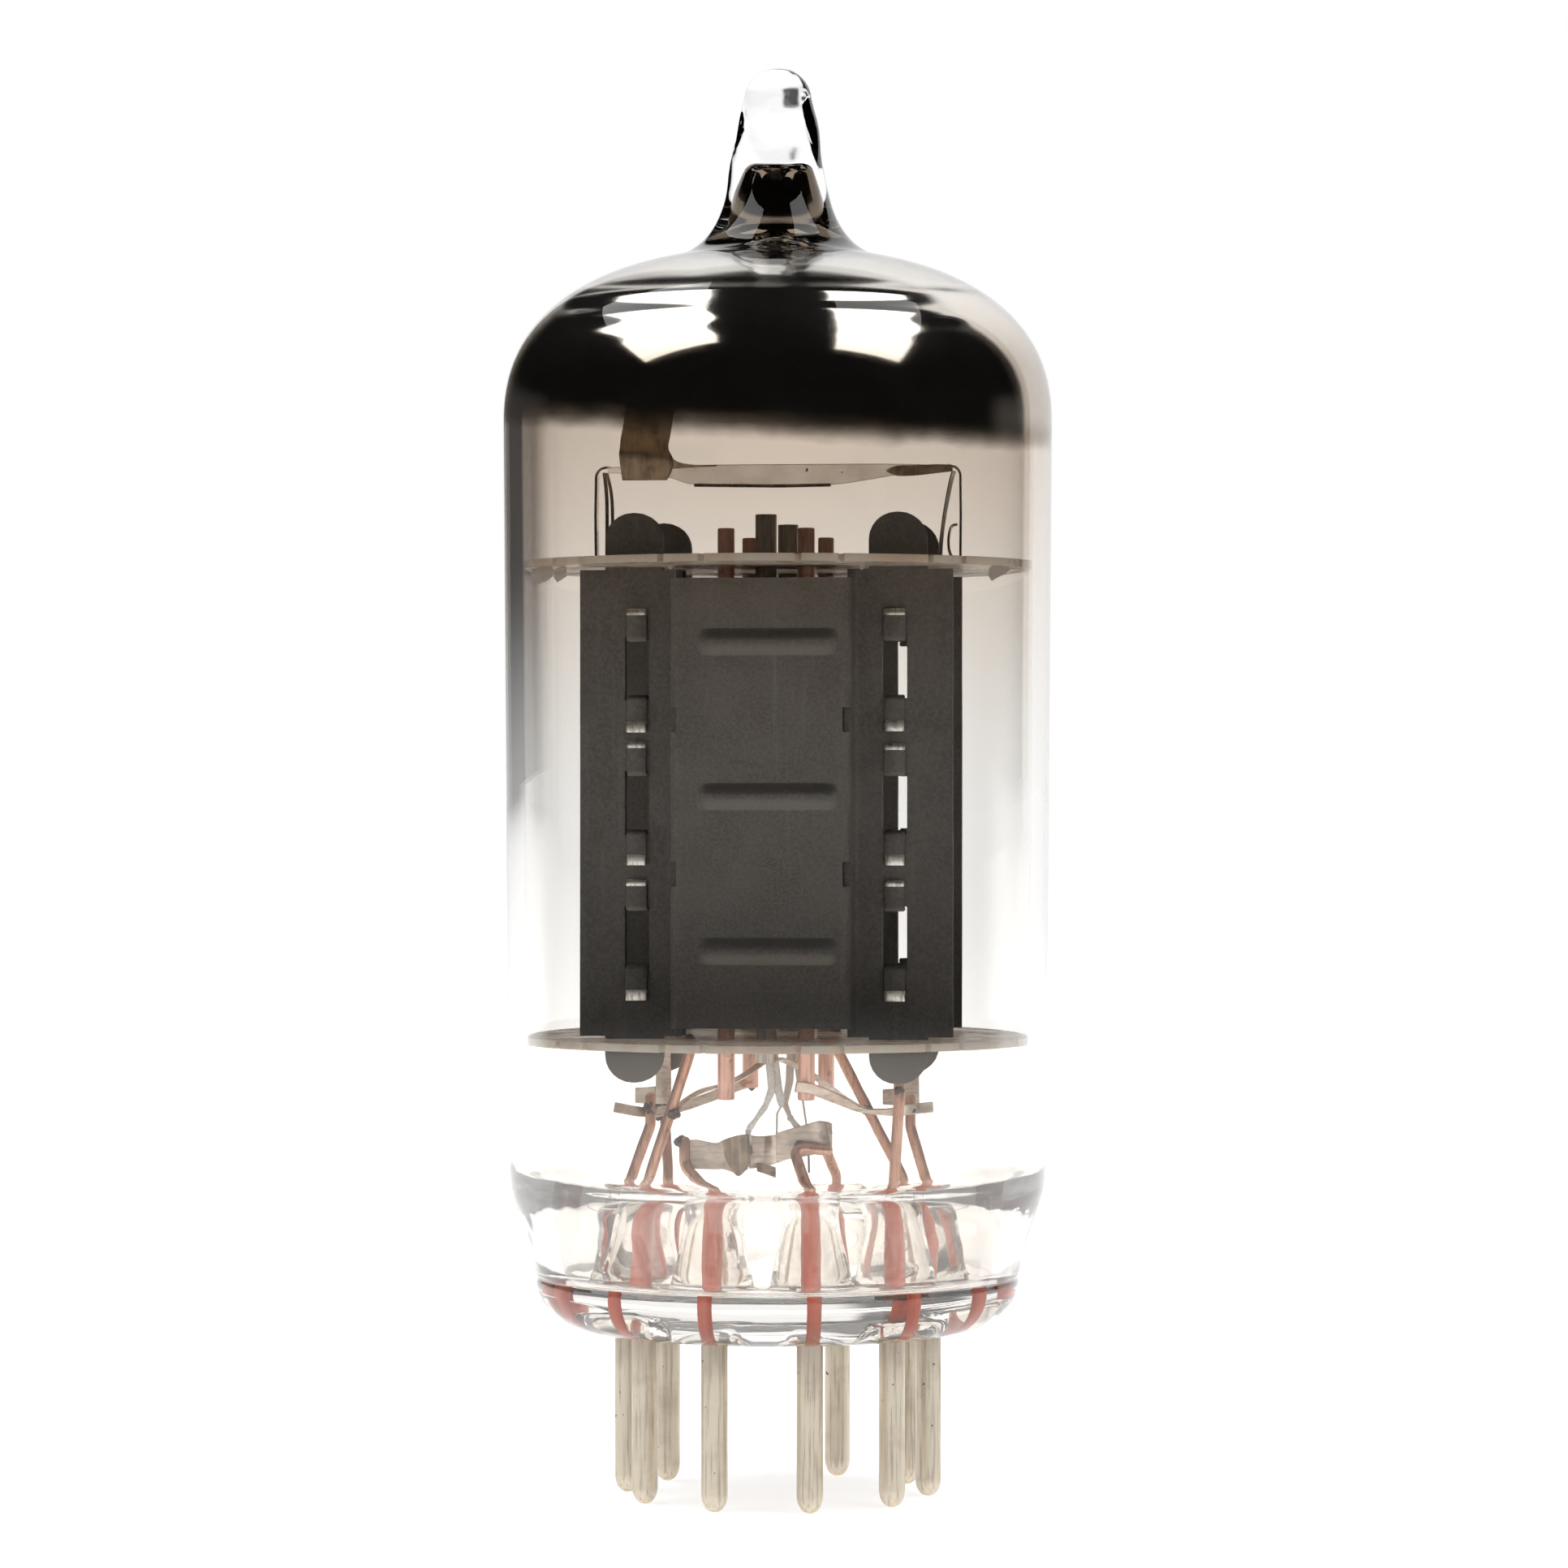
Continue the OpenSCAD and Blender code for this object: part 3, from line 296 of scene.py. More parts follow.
seal_red, tree, shader = finish("red oxidised seal wire", Metallic=0.25)
streaks = use(tree, marks_group, Across_per_mm=5.0, Along_per_mm=0.8, Low=0.4, High=0.65, Shift=5.0)
foot = use(tree, level_group, From_mm=8.3, To_mm=7.2)
colour = paint(tree, streaks.outputs["Mask"], (1.0, 0.27, 0.17), (0.9, 0.2, 0.12))
colour = tinted(tree, colour, foot, 0.7, (0.42, 0.22, 0.17))
colour_and_polish(tree, shader, colour, between(tree, streaks.outputs["Height"], 0.35, 0.6))
for n in range(1, PIN_COUNT + 1):
    rod = [(0.0, PIN_HEAD), (SEAL_R, PIN_HEAD + 0.02), (SEAL_R + 0.03, 7.5), (SEAL_R, 8.0), (SEAL_R, BOSS_TOP),
           (0.0, BOSS_TOP + 0.02)]
    piece("seal_wire_%d" % n, turned(rod, 24, pin_place(n)), seal_red, ["seal_%d" % n])

# ---------------------------------------------------------------------------------------------
# Inner leads: nine soft copper wires, welded end to end on the seal wires. Each is bent by hand
# from its boss to the electrode that it feeds, and two of them stiffen the lower mica.
LEAD_R, LEAD_BEND = 0.21, 0.6
LEAD_STUB = 12.0                # every lead runs straight up to here


def smooth_corners(path, radius, steps=7):
    """A row of points with each corner rounded to an arc."""
    row = [Vector(path[0])]
    for a, b, c in zip(path, path[1:], path[2:]):
        a, b, c = Vector(a), Vector(b), Vector(c)
        u, v = (b - a).normalized(), (c - b).normalized()
        turn = u.angle(v)
        if turn < 0.01:
            row.append(b)
            continue
        r = min(radius, 0.45 * min((b - a).length, (c - b).length) / math.tan(turn / 2))
        side = (v - u * u.dot(v)).normalized()
        start = b - u * r * math.tan(turn / 2)
        row += [start + r * (u * math.sin(turn * i / steps) + side * (1 - math.cos(turn * i / steps)))
                for i in range(steps + 1)]
    return row + [Vector(path[-1])]


def drawn_wire(path, radius, sides=16):
    """A round wire with rounded ends. The radius may be one value or a value for each point."""
    row = [Vector(p) for p in path]
    radii = list(radius) if isinstance(radius, (list, tuple)) else [radius] * len(row)
    heads = []
    for end, inner in ((0, 1), (-1, -2)):
        out = (row[end] - row[inner]).normalized()
        heads.append([(row[end] + out * radii[end] * math.sin(a) * 0.8, radii[end] * math.cos(a))
                      for a in (0.5, 0.95, 1.3)])
    row = [p for p, _ in reversed(heads[0])] + row + [p for p, _ in heads[1]]
    radii = [r for _, r in reversed(heads[0])] + radii + [r for _, r in heads[1]]
    points, faces = [], []
    side = Vector((0.6, 0.8, 0.1))
    for i, p in enumerate(row):
        along = (row[min(i + 1, len(row) - 1)] - row[max(i - 1, 0)]).normalized()
        side = (side - along * side.dot(along)).normalized()
        other = along.cross(side)
        for k in range(sides):
            turn = math.tau * k / sides
            points.append(tuple(p + radii[i] * (side * math.cos(turn) + other * math.sin(turn))))
    for i in range(len(row) - 1):
        for k in range(sides):
            m = (k + 1) % sides
            faces.append((i * sides + k, i * sides + m, (i + 1) * sides + m, (i + 1) * sides + k))
    faces.append(tuple(range(sides - 1, -1, -1)))
    faces.append(tuple((len(row) - 1) * sides + k for k in range(sides)))
    return points, faces


def copper_finish(name, bright, dull, dark, seed):
    """Bare copper that heat has dulled in patches and soot has darkened in spots."""
    material, tree, shader = finish(name, Metallic=0.8)
    drawn = use(tree, marks_group, Across_per_mm=7.0, Along_per_mm=0.6, Low=0.48, High=0.68, Shift=seed)
    tint = use(tree, clouds_group, Per_mm=0.6, Low=0.4, High=0.66, Shift=seed + 4.0)
    soot = use(tree, clouds_group, Per_mm=1.9, Detail=3.0, Low=0.62, High=0.72, Shift=seed + 11.0)
    colour = paint(tree, tint.outputs["Mask"], bright, dull)
    colour = tinted(tree, colour, drawn, 0.4, dark)
    colour = tinted(tree, colour, soot, 0.6, dark)
    colour_and_polish(tree, shader, colour, between(tree, drawn.outputs["Height"], 0.28, 0.52))
    dent(tree, shader, drawn.outputs["Height"], 0.00002, 0.5)
    return material


lead_copper = copper_finish("soft lead copper", (0.7, 0.42, 0.3), (0.56, 0.29, 0.2), (0.12, 0.05, 0.04), 2.0)
lead_ends = {
    1: [(-5.05, 4.11, 14.6), (-5.05, 4.11, 16.25)],
    2: [(-5.05, 0.0, 14.5), (-5.05, 0.0, 15.6)],
    3: [(-3.0, -3.8, 17.5), (-3.0, -3.8, 18.1)],
    4: [(-3.05, -4.85, 13.2), (-3.05, -4.85, 14.2)],
    6: [(5.05, -3.67, 15.8), (5.05, -3.67, 17.4)],
    7: [(5.25, -0.1, 14.5), (5.25, -0.1, 15.6)],
    8: [(2.1, 2.3, 17.5), (2.1, 2.3, 18.1)],
    9: [(1.5, 4.8, 13.1), (1.5, 4.8, 14.2)],
    5: [(1.1, -4.9, 14.0), (2.45, -4.9, 13.85)],
}
for n, ends in lead_ends.items():
    x, y = pin_place(n)
    path = smooth_corners([(x, y, BOSS_TOP), (x, y, LEAD_STUB)] + ends, 0.3 if n == 5 else LEAD_BEND)
    piece("copper_lead_%d" % n, drawn_wire(path, LEAD_R), lead_copper, ["lead_%d" % n], crease=60)

# ---------------------------------------------------------------------------------------------
# Cathode sleeves: two seamed nickel tubes, as thick as a pencil lead, that stand in the micas.
# The part between the micas is sprayed white, and the grid and the anode hide it.
UNIT_Y = {1: 4.15, 2: -4.15}    # the axis of each triode, behind and before the tube's own
SLEEVE_R, SLEEVE_SIDES = 0.41, 40
SLEEVE_LOW, SLEEVE_TOP = 17.2, 38.3
CAGE_MID = 27.2                 # height of the middle of the cage

sleeve_nickel, tree, shader = finish("sleeve nickel", Metallic=1.0)
drawn = use(tree, marks_group, Across_per_mm=8.0, Along_per_mm=0.5, Low=0.45, High=0.65, Shift=1.0)
heat = use(tree, clouds_group, Per_mm=0.8, Low=0.4, High=0.65, Shift=6.0)
colour = paint(tree, heat.outputs["Mask"], (0.58, 0.53, 0.46), (0.46, 0.39, 0.33))
colour = tinted(tree, colour, drawn, 0.4, (0.16, 0.13, 0.11))
colour_and_polish(tree, shader, colour, between(tree, drawn.outputs["Height"], 0.32, 0.55))
dent(tree, shader, drawn.outputs["Height"], 0.00002, 0.5)
oxide_white, tree, shader = finish("white oxide coat", Roughness=0.9)
grains = use(tree, clouds_group, Per_mm=14.0, Detail=3.0, Low=0.35, High=0.7, Shift=2.0)
colour_and_polish(tree, shader, paint(tree, grains.outputs["Mask"], (0.78, 0.77, 0.74), (0.9, 0.89, 0.87)))
dent(tree, shader, grains.outputs["Height"], 0.00003)

for unit, y in UNIT_Y.items():
    wall = [(SLEEVE_R - 0.05, SLEEVE_LOW), (SLEEVE_R - 0.01, SLEEVE_LOW - 0.02), (SLEEVE_R, SLEEVE_LOW + 0.02),
            (SLEEVE_R, 18.7), (SLEEVE_R + 0.03, 18.75), (SLEEVE_R + 0.03, 35.7), (SLEEVE_R, 35.75),
            (SLEEVE_R, SLEEVE_TOP - 0.02), (SLEEVE_R - 0.01, SLEEVE_TOP + 0.02), (SLEEVE_R - 0.05, SLEEVE_TOP),
            (SLEEVE_R - 0.05, SLEEVE_LOW)]
    form = turned(wall, SLEEVE_SIDES, (0.0, y))
    coated = [1 if i // SLEEVE_SIDES == 4 else 0 for i in range(len(form[1]))]
    piece("cathode_sleeve_%d" % unit, form, [sleeve_nickel, oxide_white], ["cathode_%d" % unit],
          parts=coated)

# ---------------------------------------------------------------------------------------------
# Heaters: a tungsten wire with a baked white ceramic coat, folded to a hairpin in each sleeve.
# The bare ends run down and are welded to the strips.
LEG, HAIRPIN_TOP = 0.165, 37.5
COAT_R, BARE_R = 0.16, 0.04
heater_runs = {
    1: ([(0.19, 3.3, 17.1), (0.39, 0.8, 16.19), (0.46, -1.6, 15.43), (0.82, -3.0, 14.98), (1.18, -4.0, 14.7),
         (1.28, -4.4, 14.41)],
        [(0.45, 3.2, 17.1), (0.91, 0.5, 15.95), (1.08, -0.8, 15.52), (1.5, -3.8, 14.85), (1.59, -4.35, 14.35),
         (1.66, -4.4, 13.48), (1.66, -4.3, 12.94)]),
    2: ([(0.12, -4.2, 17.3), (0.25, -4.35, 16.19), (0.0, -4.4, 15.53), (-0.35, -4.45, 15.03), (-0.66, -4.5, 14.6),
         (-0.58, -4.66, 13.73)],
        [(0.32, -4.1, 17.3), (0.43, -3.9, 16.2), (0.55, -3.6, 15.52), (0.38, -3.8, 15.22), (0.4, -4.1, 14.58),
         (0.4, -4.15, 14.14)]),
}
bare_below = {(1, 0): 14.0, (1, 1): 15.6, (2, 0): 13.0, (2, 1): 15.45}

heater_white, tree, shader = finish("white heater coat", Roughness=0.85)
grains = use(tree, clouds_group, Per_mm=9.0, Detail=3.0, Low=0.35, High=0.7, Shift=4.0)
ends = use(tree, level_group, From_mm=14.3, To_mm=13.9)
colour = paint(tree, grains.outputs["Mask"], (0.74, 0.72, 0.69), (0.88, 0.87, 0.85))
colour = paint(tree, ends.outputs["Mask"], colour, (0.17, 0.15, 0.14))
colour_and_polish(tree, shader, colour)
dent(tree, shader, grains.outputs["Height"], 0.00004)

for unit, runs in heater_runs.items():
    y = UNIT_Y[unit]
    legs = []
    for k, side in ((0, -1), (1, 1)):
        leg = [(side * LEG, y, 18.6)] + runs[k]
        row = [Vector((side * LEG, y, z)) for z in (HAIRPIN_TOP, 36.0, 30.0, 24.0)] + smooth_corners(leg, 0.4, 5)
        radii = []
        for i, p in enumerate(row):
            coat = COAT_R * (1.0 + (0.22 * math.sin(i * 2.4) if p.z < 15.9 else 0.0))
            radii.append(BARE_R if p.z < bare_below[unit, k] else coat * (0.72 if p.z < 15.6 else 1.0))
        legs.append((row, radii))
    crown = [Vector((-LEG * math.cos(math.radians(a)), y, HAIRPIN_TOP + LEG * math.sin(math.radians(a))))
             for a in (30, 60, 90, 120, 150)]
    path = legs[0][0][::-1] + crown + legs[1][0]
    radii = legs[0][1][::-1] + [COAT_R] * len(crown) + legs[1][1]
    piece("heater_hairpin_%d" % unit, drawn_wire(path, radii, 12), heater_white, ["heater_%d" % unit],
          crease=60)

# ---------------------------------------------------------------------------------------------
# Grids: each has two thick copper posts, and fine wire wound round both and swaged into them.
# The wire bulges towards the two anode halves, and only the posts' ends show clearly.
POST_X, POST_R = 1.54, 0.325
POST_LOW, POST_TOP, POST_ROUND = 15.75, 37.8, 0.06
TURN_COUNT, TURN_STEPS, TURN_PITCH = 28, 28, 0.6
TURN_BULGE, TURN_R = 0.85, 0.045

post_copper = copper_finish("grid post copper", (0.78, 0.48, 0.38), (0.62, 0.36, 0.28), (0.24, 0.12, 0.1), 7.0)
grid_wire, tree, shader = finish("grid wire", Metallic=1.0, Roughness=0.35)
shade = use(tree, clouds_group, Per_mm=1.2, Low=0.4, High=0.65, Shift=8.0)
colour_and_polish(tree, shader, paint(tree, shade.outputs["Mask"], (0.72, 0.66, 0.56), (0.5, 0.42, 0.34)))

for unit, y in UNIT_Y.items():
    posts = []
    for side in (-1, 1):
        rod = [(0.0, POST_LOW)]
        rod += arc((POST_R - POST_ROUND, POST_LOW + POST_ROUND), POST_ROUND, POST_ROUND, -90, 0, 3)
        rod += arc((POST_R - POST_ROUND, POST_TOP - POST_ROUND), POST_ROUND, POST_ROUND, 0, 90, 3)
        rod += [(0.0, POST_TOP)]
        posts.append(turned(rod, 32, (side * POST_X, y)))
    reach = POST_X + POST_R + 0.04
    chord = reach + 0.3
    bow = (chord * chord + TURN_BULGE * TURN_BULGE) / (2 * TURN_BULGE)
    helix = []
    for i in range(TURN_COUNT * TURN_STEPS + 1):
        share = i / TURN_STEPS
        around = (share % 1.0) * 2
        x = reach * math.cos(math.pi * around)
        bulge = math.sqrt(max(bow * bow - x * x, 0)) - (bow - TURN_BULGE)
        landing = min(1.0, (reach - abs(x)) / 0.12)
        helix.append((x, y + (1 if around < 1 else -1) * bulge * math.sqrt(max(landing, 0.0)),
                      CAGE_MID + (share - TURN_COUNT / 2) * TURN_PITCH))
    wound = drawn_wire(helix, TURN_R, 6)
    form = joined(*posts, wound)
    which = [0] * (len(posts[0][1]) * 2) + [1] * len(wound[1])
    piece("grid_%d_wound" % unit, form, [post_copper, grid_wire], ["grid_%d" % unit], parts=which)

# ---------------------------------------------------------------------------------------------
# Anodes: each is two pressed halves of thin carbonised steel sheet, a box with a wing on each
# side. Ribs and lanced folds stiffen the box, and ears on the wings key into the micas. Tongues of
# the inner half are folded through windows of the outer half and clinch the two together.
SHEET = 0.25                    # thickness with its coat
WING_END, BOX_HALF, BOX_DEPTH = 7.1, 3.4, 2.5
FOLD_MID_R = 0.375
SHELL_HALF, BOX_DROP = 9.0, 0.4     # half the height, and how much shorter the box is at each end
EAR_X, EAR_HALF, EAR_CORNER = 5.05, 1.1, 1.05
EAR_UP, EAR_DOWN = 2.2, 1.8
WINDOW_X, WINDOW_HALF_W, WINDOW_HALF_H, WINDOW_PITCH = 4.93, 0.47, 1.22, 5.2
RIB_X, RIB_Z, RIB_PITCH = 0.35, 0.25, 5.9
RIB_HALF_L, RIB_HALF_H, RIB_OUT, RIB_RUN_OUT = 2.75, 0.5, 0.3, 0.55
LANCE_HALF = 0.475

carbon_black, tree, shader = finish("carbonised sheet", Metallic=0.0)
grain = use(tree, clouds_group, Per_mm=9.0, Detail=5.0, Low=0.4, High=0.62, Shift=1.0)
cloud = use(tree, clouds_group, Per_mm=0.45, Low=0.35, High=0.7, Shift=12.0)
bumps = use(tree, clouds_group, Per_mm=1.1, Detail=1.0, Low=0.66, High=0.8, Shift=20.0)
wiped = use(tree, marks_group, Across_per_mm=2.6, Along_per_mm=0.15, Low=0.58, High=0.75, Shift=15.0)
colour = paint(tree, cloud.outputs["Mask"], (0.14, 0.126, 0.114), (0.112, 0.1, 0.09))
colour = tinted(tree, colour, grain, 0.5, (0.17, 0.156, 0.144))
colour = tinted(tree, colour, wiped, 0.35, (0.21, 0.2, 0.185))
# Painted shade: the sheet is painted darker towards the bottom of the cage.
low_painted_shade = use(tree, level_group, From_mm=27.0, To_mm=18.5)
colour = tinted(tree, colour, low_painted_shade, 0.6, (0.03, 0.027, 0.024))
# Painted light and shade: faces turned up are painted darker and faces turned down lighter, as light comes from
# the table below.
facing_up_for_painted_light = add(tree, "ShaderNodeSeparateXYZ", {0: add(tree, "ShaderNodeNewGeometry").outputs["Normal"]}).outputs["Z"]
colour = paint(tree, window_of(tree, facing_up_for_painted_light, 0.05, 0.7), colour, (0.055, 0.05, 0.045))
colour = paint(tree, window_of(tree, facing_up_for_painted_light, -0.05, -0.9), colour, (0.22, 0.205, 0.185))
# Painted light: the ears below the lower mica are painted lighter, as if lit by the table under them.
low_ears_painted_light = use(tree, level_group, From_mm=17.9, To_mm=17.3)
colour = tinted(tree, colour, low_ears_painted_light, 0.8, (0.2, 0.185, 0.165))
colour_and_polish(tree, shader, colour, between(tree, grain.outputs["Mask"], 0.78, 0.62))
rough_face = dent(tree, shader, grain.outputs["Height"], 0.00003, 0.7)
dent(tree, shader, bumps.outputs["Mask"], 0.00005, 0.8, rough_face)

bare_steel, tree, shader = finish("bare sheared edge", Metallic=1.0)
burr = use(tree, marks_group, Across_per_mm=10.0, Along_per_mm=3.0, Low=0.45, High=0.65, Shift=3.0)
colour_and_polish(tree, shader, paint(tree, burr.outputs["Mask"], (0.86, 0.82, 0.76), (0.5, 0.46, 0.4)),
                  between(tree, burr.outputs["Height"], 0.25, 0.45))


def spread(stops, pitch):
    """All the stops, with even steps of at most a pitch between them."""
    row = sorted(set(round(s, 4) for s in stops))
    full = [row[0]]
    for a, b in zip(row, row[1:]):
        count = max(1, math.ceil((b - a) / pitch - 1e-6))
        full += [a + (b - a) * i / count for i in range(1, count + 1)]
    return full


def ease(t):
    """Nought to one with a soft start and a soft stop."""
    t = min(max(t, 0.0), 1.0)
    return t * t * (3 - 2 * t)


def rib_height(x, z):
    """How far the pressed ribs stand out of the box's face."""
    tall = 0.0
    for i in (-1, 0, 1):
        off = (z - RIB_Z - i * RIB_PITCH) / RIB_HALF_H
        if abs(off) < 1.25:
            crown = ease(1 - abs(off)) * 0.45 + 0.55 * max(0.0, 1 - abs(off) ** 1.3)
            tall = max(tall, crown)
    return RIB_OUT * tall * ease((RIB_HALF_L - abs(x - RIB_X)) / RIB_RUN_OUT)


ear_sides = [EAR_X - EAR_HALF, EAR_X + EAR_HALF]
corner_steps = [EAR_CORNER * (1 - math.cos(math.radians(a))) for a in (0, 15, 30, 45, 60, 75, 90)]
wing_stops = [ear_sides[0] + c for c in corner_steps] + [ear_sides[1] - c for c in corner_steps]
wing_stops += [WINDOW_X - WINDOW_HALF_W, WINDOW_X + WINDOW_HALF_W, BOX_HALF + 0.25, WING_END]
wing_row = spread(wing_stops, 0.45)


def half_section():
    """Stations along one half's outline: place, outward normal and kind of surface."""
    mid = -SHEET / 2
    row = [(-x, mid, 0.0, -1.0, "wing") for x in reversed(wing_row)]
    knee_x, knee_y = -BOX_HALF - 0.25, mid - FOLD_MID_R
    for a in range(15, 91, 15):
        t = math.radians(a)
        row.append((knee_x + FOLD_MID_R * math.sin(t), knee_y + FOLD_MID_R * math.cos(t),
                    -math.sin(t), -math.cos(t), "knee"))
    wall_x = knee_x + FOLD_MID_R
    corner_y = SHEET / 2 - BOX_DEPTH + FOLD_MID_R
    row += [(wall_x, y, -1.0, 0.0, "wall") for y in spread([knee_y, corner_y], 0.4)[::-1][1:]]
    for a in range(10, 91, 10):
        t = math.radians(a)
        row.append((wall_x + FOLD_MID_R * (1 - math.cos(t)), corner_y - FOLD_MID_R * math.sin(t),
                    -math.cos(t), -math.sin(t), "fold"))
    face = spread([wall_x + FOLD_MID_R, -RIB_HALF_L, -RIB_HALF_L + RIB_RUN_OUT, 0.0], 0.14)
    face = [x for x in face if x > wall_x + FOLD_MID_R + 0.01]
    face_y = corner_y - FOLD_MID_R
    row += [(x, face_y, 0.0, -1.0, "face") for x in face]
    return row + [(-x, y, -nx, ny, kind) for x, y, nx, ny, kind in reversed(row[:-1])]


def half_rows():
    """The heights of the mesh's rows: close together over the ribs, with one at each cut."""
    stops = [-SHELL_HALF, SHELL_HALF, -SHELL_HALF + BOX_DROP, SHELL_HALF - BOX_DROP]
    for i in (-1, 0, 1):
        stops += [i * WINDOW_PITCH - WINDOW_HALF_H, i * WINDOW_PITCH + WINDOW_HALF_H]
        middle = RIB_Z + i * RIB_PITCH
        stops += [middle + RIB_HALF_H * k / 9 for k in range(-11, 12)]
    for end in (-1, 1):
        middle = RIB_Z + end * RIB_PITCH / 2
        stops += [middle - LANCE_HALF, middle + LANCE_HALF]
    rows = []
    for z in spread(stops, 0.4):
        if not rows or z - rows[-1] > 0.012 or any(abs(z - s) < 1e-6 for s in stops):
            rows.append(z)
    return rows


def pressed_half():
    """The middle surface of one half, in its own triode's frame, as points and faces."""
    section, rows = half_section(), half_rows()
    index, points, faces = {}, [], []

    def corner(key, place):
        if key not in index:
            index[key] = len(points)
            points.append(place)
        return index[key]

    def at(i, j):
        x, y, nx, ny, kind = section[i]
        z = rows[j]
        out = rib_height(x, z) if kind == "face" else 0.0
        return corner((i, j), (x + nx * out, y + ny * out, z))

    for i in range(len(section) - 1):
        kinds = {section[i][4], section[i + 1][4]}
        mid_x = abs(section[i][0] + section[i + 1][0]) / 2
        for j in range(len(rows) - 1):
            mid_z = (rows[j] + rows[j + 1]) / 2
            if kinds == {"wing"} and abs(mid_x - WINDOW_X) < WINDOW_HALF_W and \
                    any(abs(mid_z - k * WINDOW_PITCH) < WINDOW_HALF_H for k in (-1, 0, 1)):
                continue
            lanced = kinds == {"fold"} and abs(section[i][3]) < 0.9 and abs(section[i + 1][3]) < 0.9
            if lanced and any(abs(mid_z - RIB_Z - e * RIB_PITCH / 2) < LANCE_HALF for e in (-1, 1)):
                continue
            if kinds & {"wall", "fold", "face"} and abs(mid_z) > SHELL_HALF - BOX_DROP:
                continue
            faces.append((at(i, j), at(i + 1, j), at(i + 1, j + 1), at(i, j + 1)))
    ear_rows = 7
    for i in range(len(section) - 1):
        if {section[i][4], section[i + 1][4]} != {"wing"}:
            continue
        if not all(ear_sides[0] - 1e-4 <= abs(section[k][0]) <= ear_sides[1] + 1e-4 for k in (i, i + 1)):
            continue
        for sign, reach in ((1, EAR_UP), (-1, EAR_DOWN)):
            def ear_at(k, row):
                x = section[k][0]
                inset = min(abs(x) - ear_sides[0], ear_sides[1] - abs(x))
                inset = max(0.0, min(EAR_CORNER, inset))
                fall = EAR_CORNER - math.sqrt(max(EAR_CORNER ** 2 - (EAR_CORNER - inset) ** 2, 0.0))
                if row == 0:
                    return at(k, len(rows) - 1 if sign > 0 else 0)
                z = sign * (SHELL_HALF + (reach - fall) * row / ear_rows)
                return corner((k, sign, row), (x, section[k][1], z))
            for row in range(ear_rows):
                quad = (ear_at(i, row), ear_at(i + 1, row), ear_at(i + 1, row + 1), ear_at(i, row + 1))
                faces.append(quad if sign > 0 else quad[::-1])
    return points, faces


def in_triode(form, unit, inner):
    """The form in the tube's frame: the inner half is the outer one mirrored."""
    points, faces = form
    moved = []
    for x, y, z in points:
        if inner:
            y = -y
        y -= UNIT_Y[1]
        moved.append((-x, -y, z + CAGE_MID) if unit == 1 else (x, y, z + CAGE_MID))
    return moved, [f[::-1] for f in faces] if inner else faces


def thick(made, depth, edge, segments=2):
    """A sheet gets its thickness and its rounded edges."""
    skin = made.modifiers.new("sheet", "SOLIDIFY")
    skin.thickness, skin.offset, skin.use_even_offset = depth * MM, 0.0, True
    soft = made.modifiers.new("edge", "BEVEL")
    soft.width, soft.segments, soft.limit_method = edge * MM, segments, "ANGLE"
    soft.angle_limit = math.radians(50)
    soft.harden_normals = True


def strip(path, width, depth, across=(1.0, 0.0, 0.0), chamfer=0.03):
    """A flat strip along a path, with its edges eased. across is the direction of its width."""
    row = [Vector(p) for p in path]
    each = isinstance(across[0], (tuple, list, Vector))
    sides = [Vector(a) for a in across] if each else [Vector(across)] * len(row)
    points, faces = [], []
    hw, hd, c = width / 2, depth / 2, chamfer
    outline = [(-hw + c, -hd), (hw - c, -hd), (hw, -hd + c), (hw, hd - c),
               (hw - c, hd), (-hw + c, hd), (-hw, hd - c), (-hw, -hd + c)]
    for i, p in enumerate(row):
        along = (row[min(i + 1, len(row) - 1)] - row[max(i - 1, 0)]).normalized()
        side = (sides[i] - along * sides[i].dot(along)).normalized()
        up = along.cross(side)
        points += [tuple(p + side * a + up * b) for a, b in outline]
    count = len(outline)
    for i in range(len(row) - 1):
        for k in range(count):
            m = (k + 1) % count
            faces.append((i * count + k, i * count + m, (i + 1) * count + m, (i + 1) * count + k))
    faces.append(tuple(range(count - 1, -1, -1)))
    faces.append(tuple((len(row) - 1) * count + k for k in range(count)))
    return points, faces


TONGUE, TONGUE_ROOT = 0.19, 1.13    # thickness, and where a tongue leaves the inner half
random.seed(8)


def clinch_tongues():
    """Two tongues in each window, folded out over the outer half, and the faces of their bare ends."""
    forms, bare = [], []
    lies = -SHEET - 0.02 - 0.09
    for side in (-1, 1):
        for i in (-1, 0, 1):
            for end in (-1, 1):
                z0 = i * WINDOW_PITCH
                tip = 2.33 + random.uniform(-0.08, 0.06) + (0.12 if end < 0 else -0.05)
                shine = 0.7 if end < 0 else 0.36
                x, root = side * WINDOW_X, z0 + end * TONGUE_ROOT
                row = smooth_corners([(x, 0.1, root), (x, lies, root), (x, lies, z0 + end * tip)], 0.13, 5)
                burr = ((0.0, shine), (0.02, shine * 0.55), (0.05, shine * 0.2), (0.02, 0.0))
                row[-1:] = [Vector((x, lies - rise, z0 + end * (tip - back))) for rise, back in burr]
                form = strip(row, random.uniform(0.74, 0.84), TONGUE, chamfer=0.05)
                forms.append(form)
                shiny = [0] * len(form[1])
                shiny[-1] = 1
                first = (len(row) - 3) * 8
                shiny[first:first + 16] = [1] * 16
                bare += shiny
    points, faces = joined(*forms)
    return (points, faces), bare


half_form = pressed_half()
tongues, bare_ends = clinch_tongues()
for unit in (1, 2):
    for inner in (False, True):
        side = "inner" if inner else "outer"
        made = piece("anode_%d_%s_half" % (unit, side), in_triode(half_form, unit, inner), carbon_black,
                     ["anode_%d_%s" % (unit, side)], crease=50)
        thick(made, SHEET, 0.04)
    piece("anode_%d_clinches" % unit, in_triode(tongues, unit, False), [carbon_black, bare_steel], (),
          crease=50, parts=bare_ends)

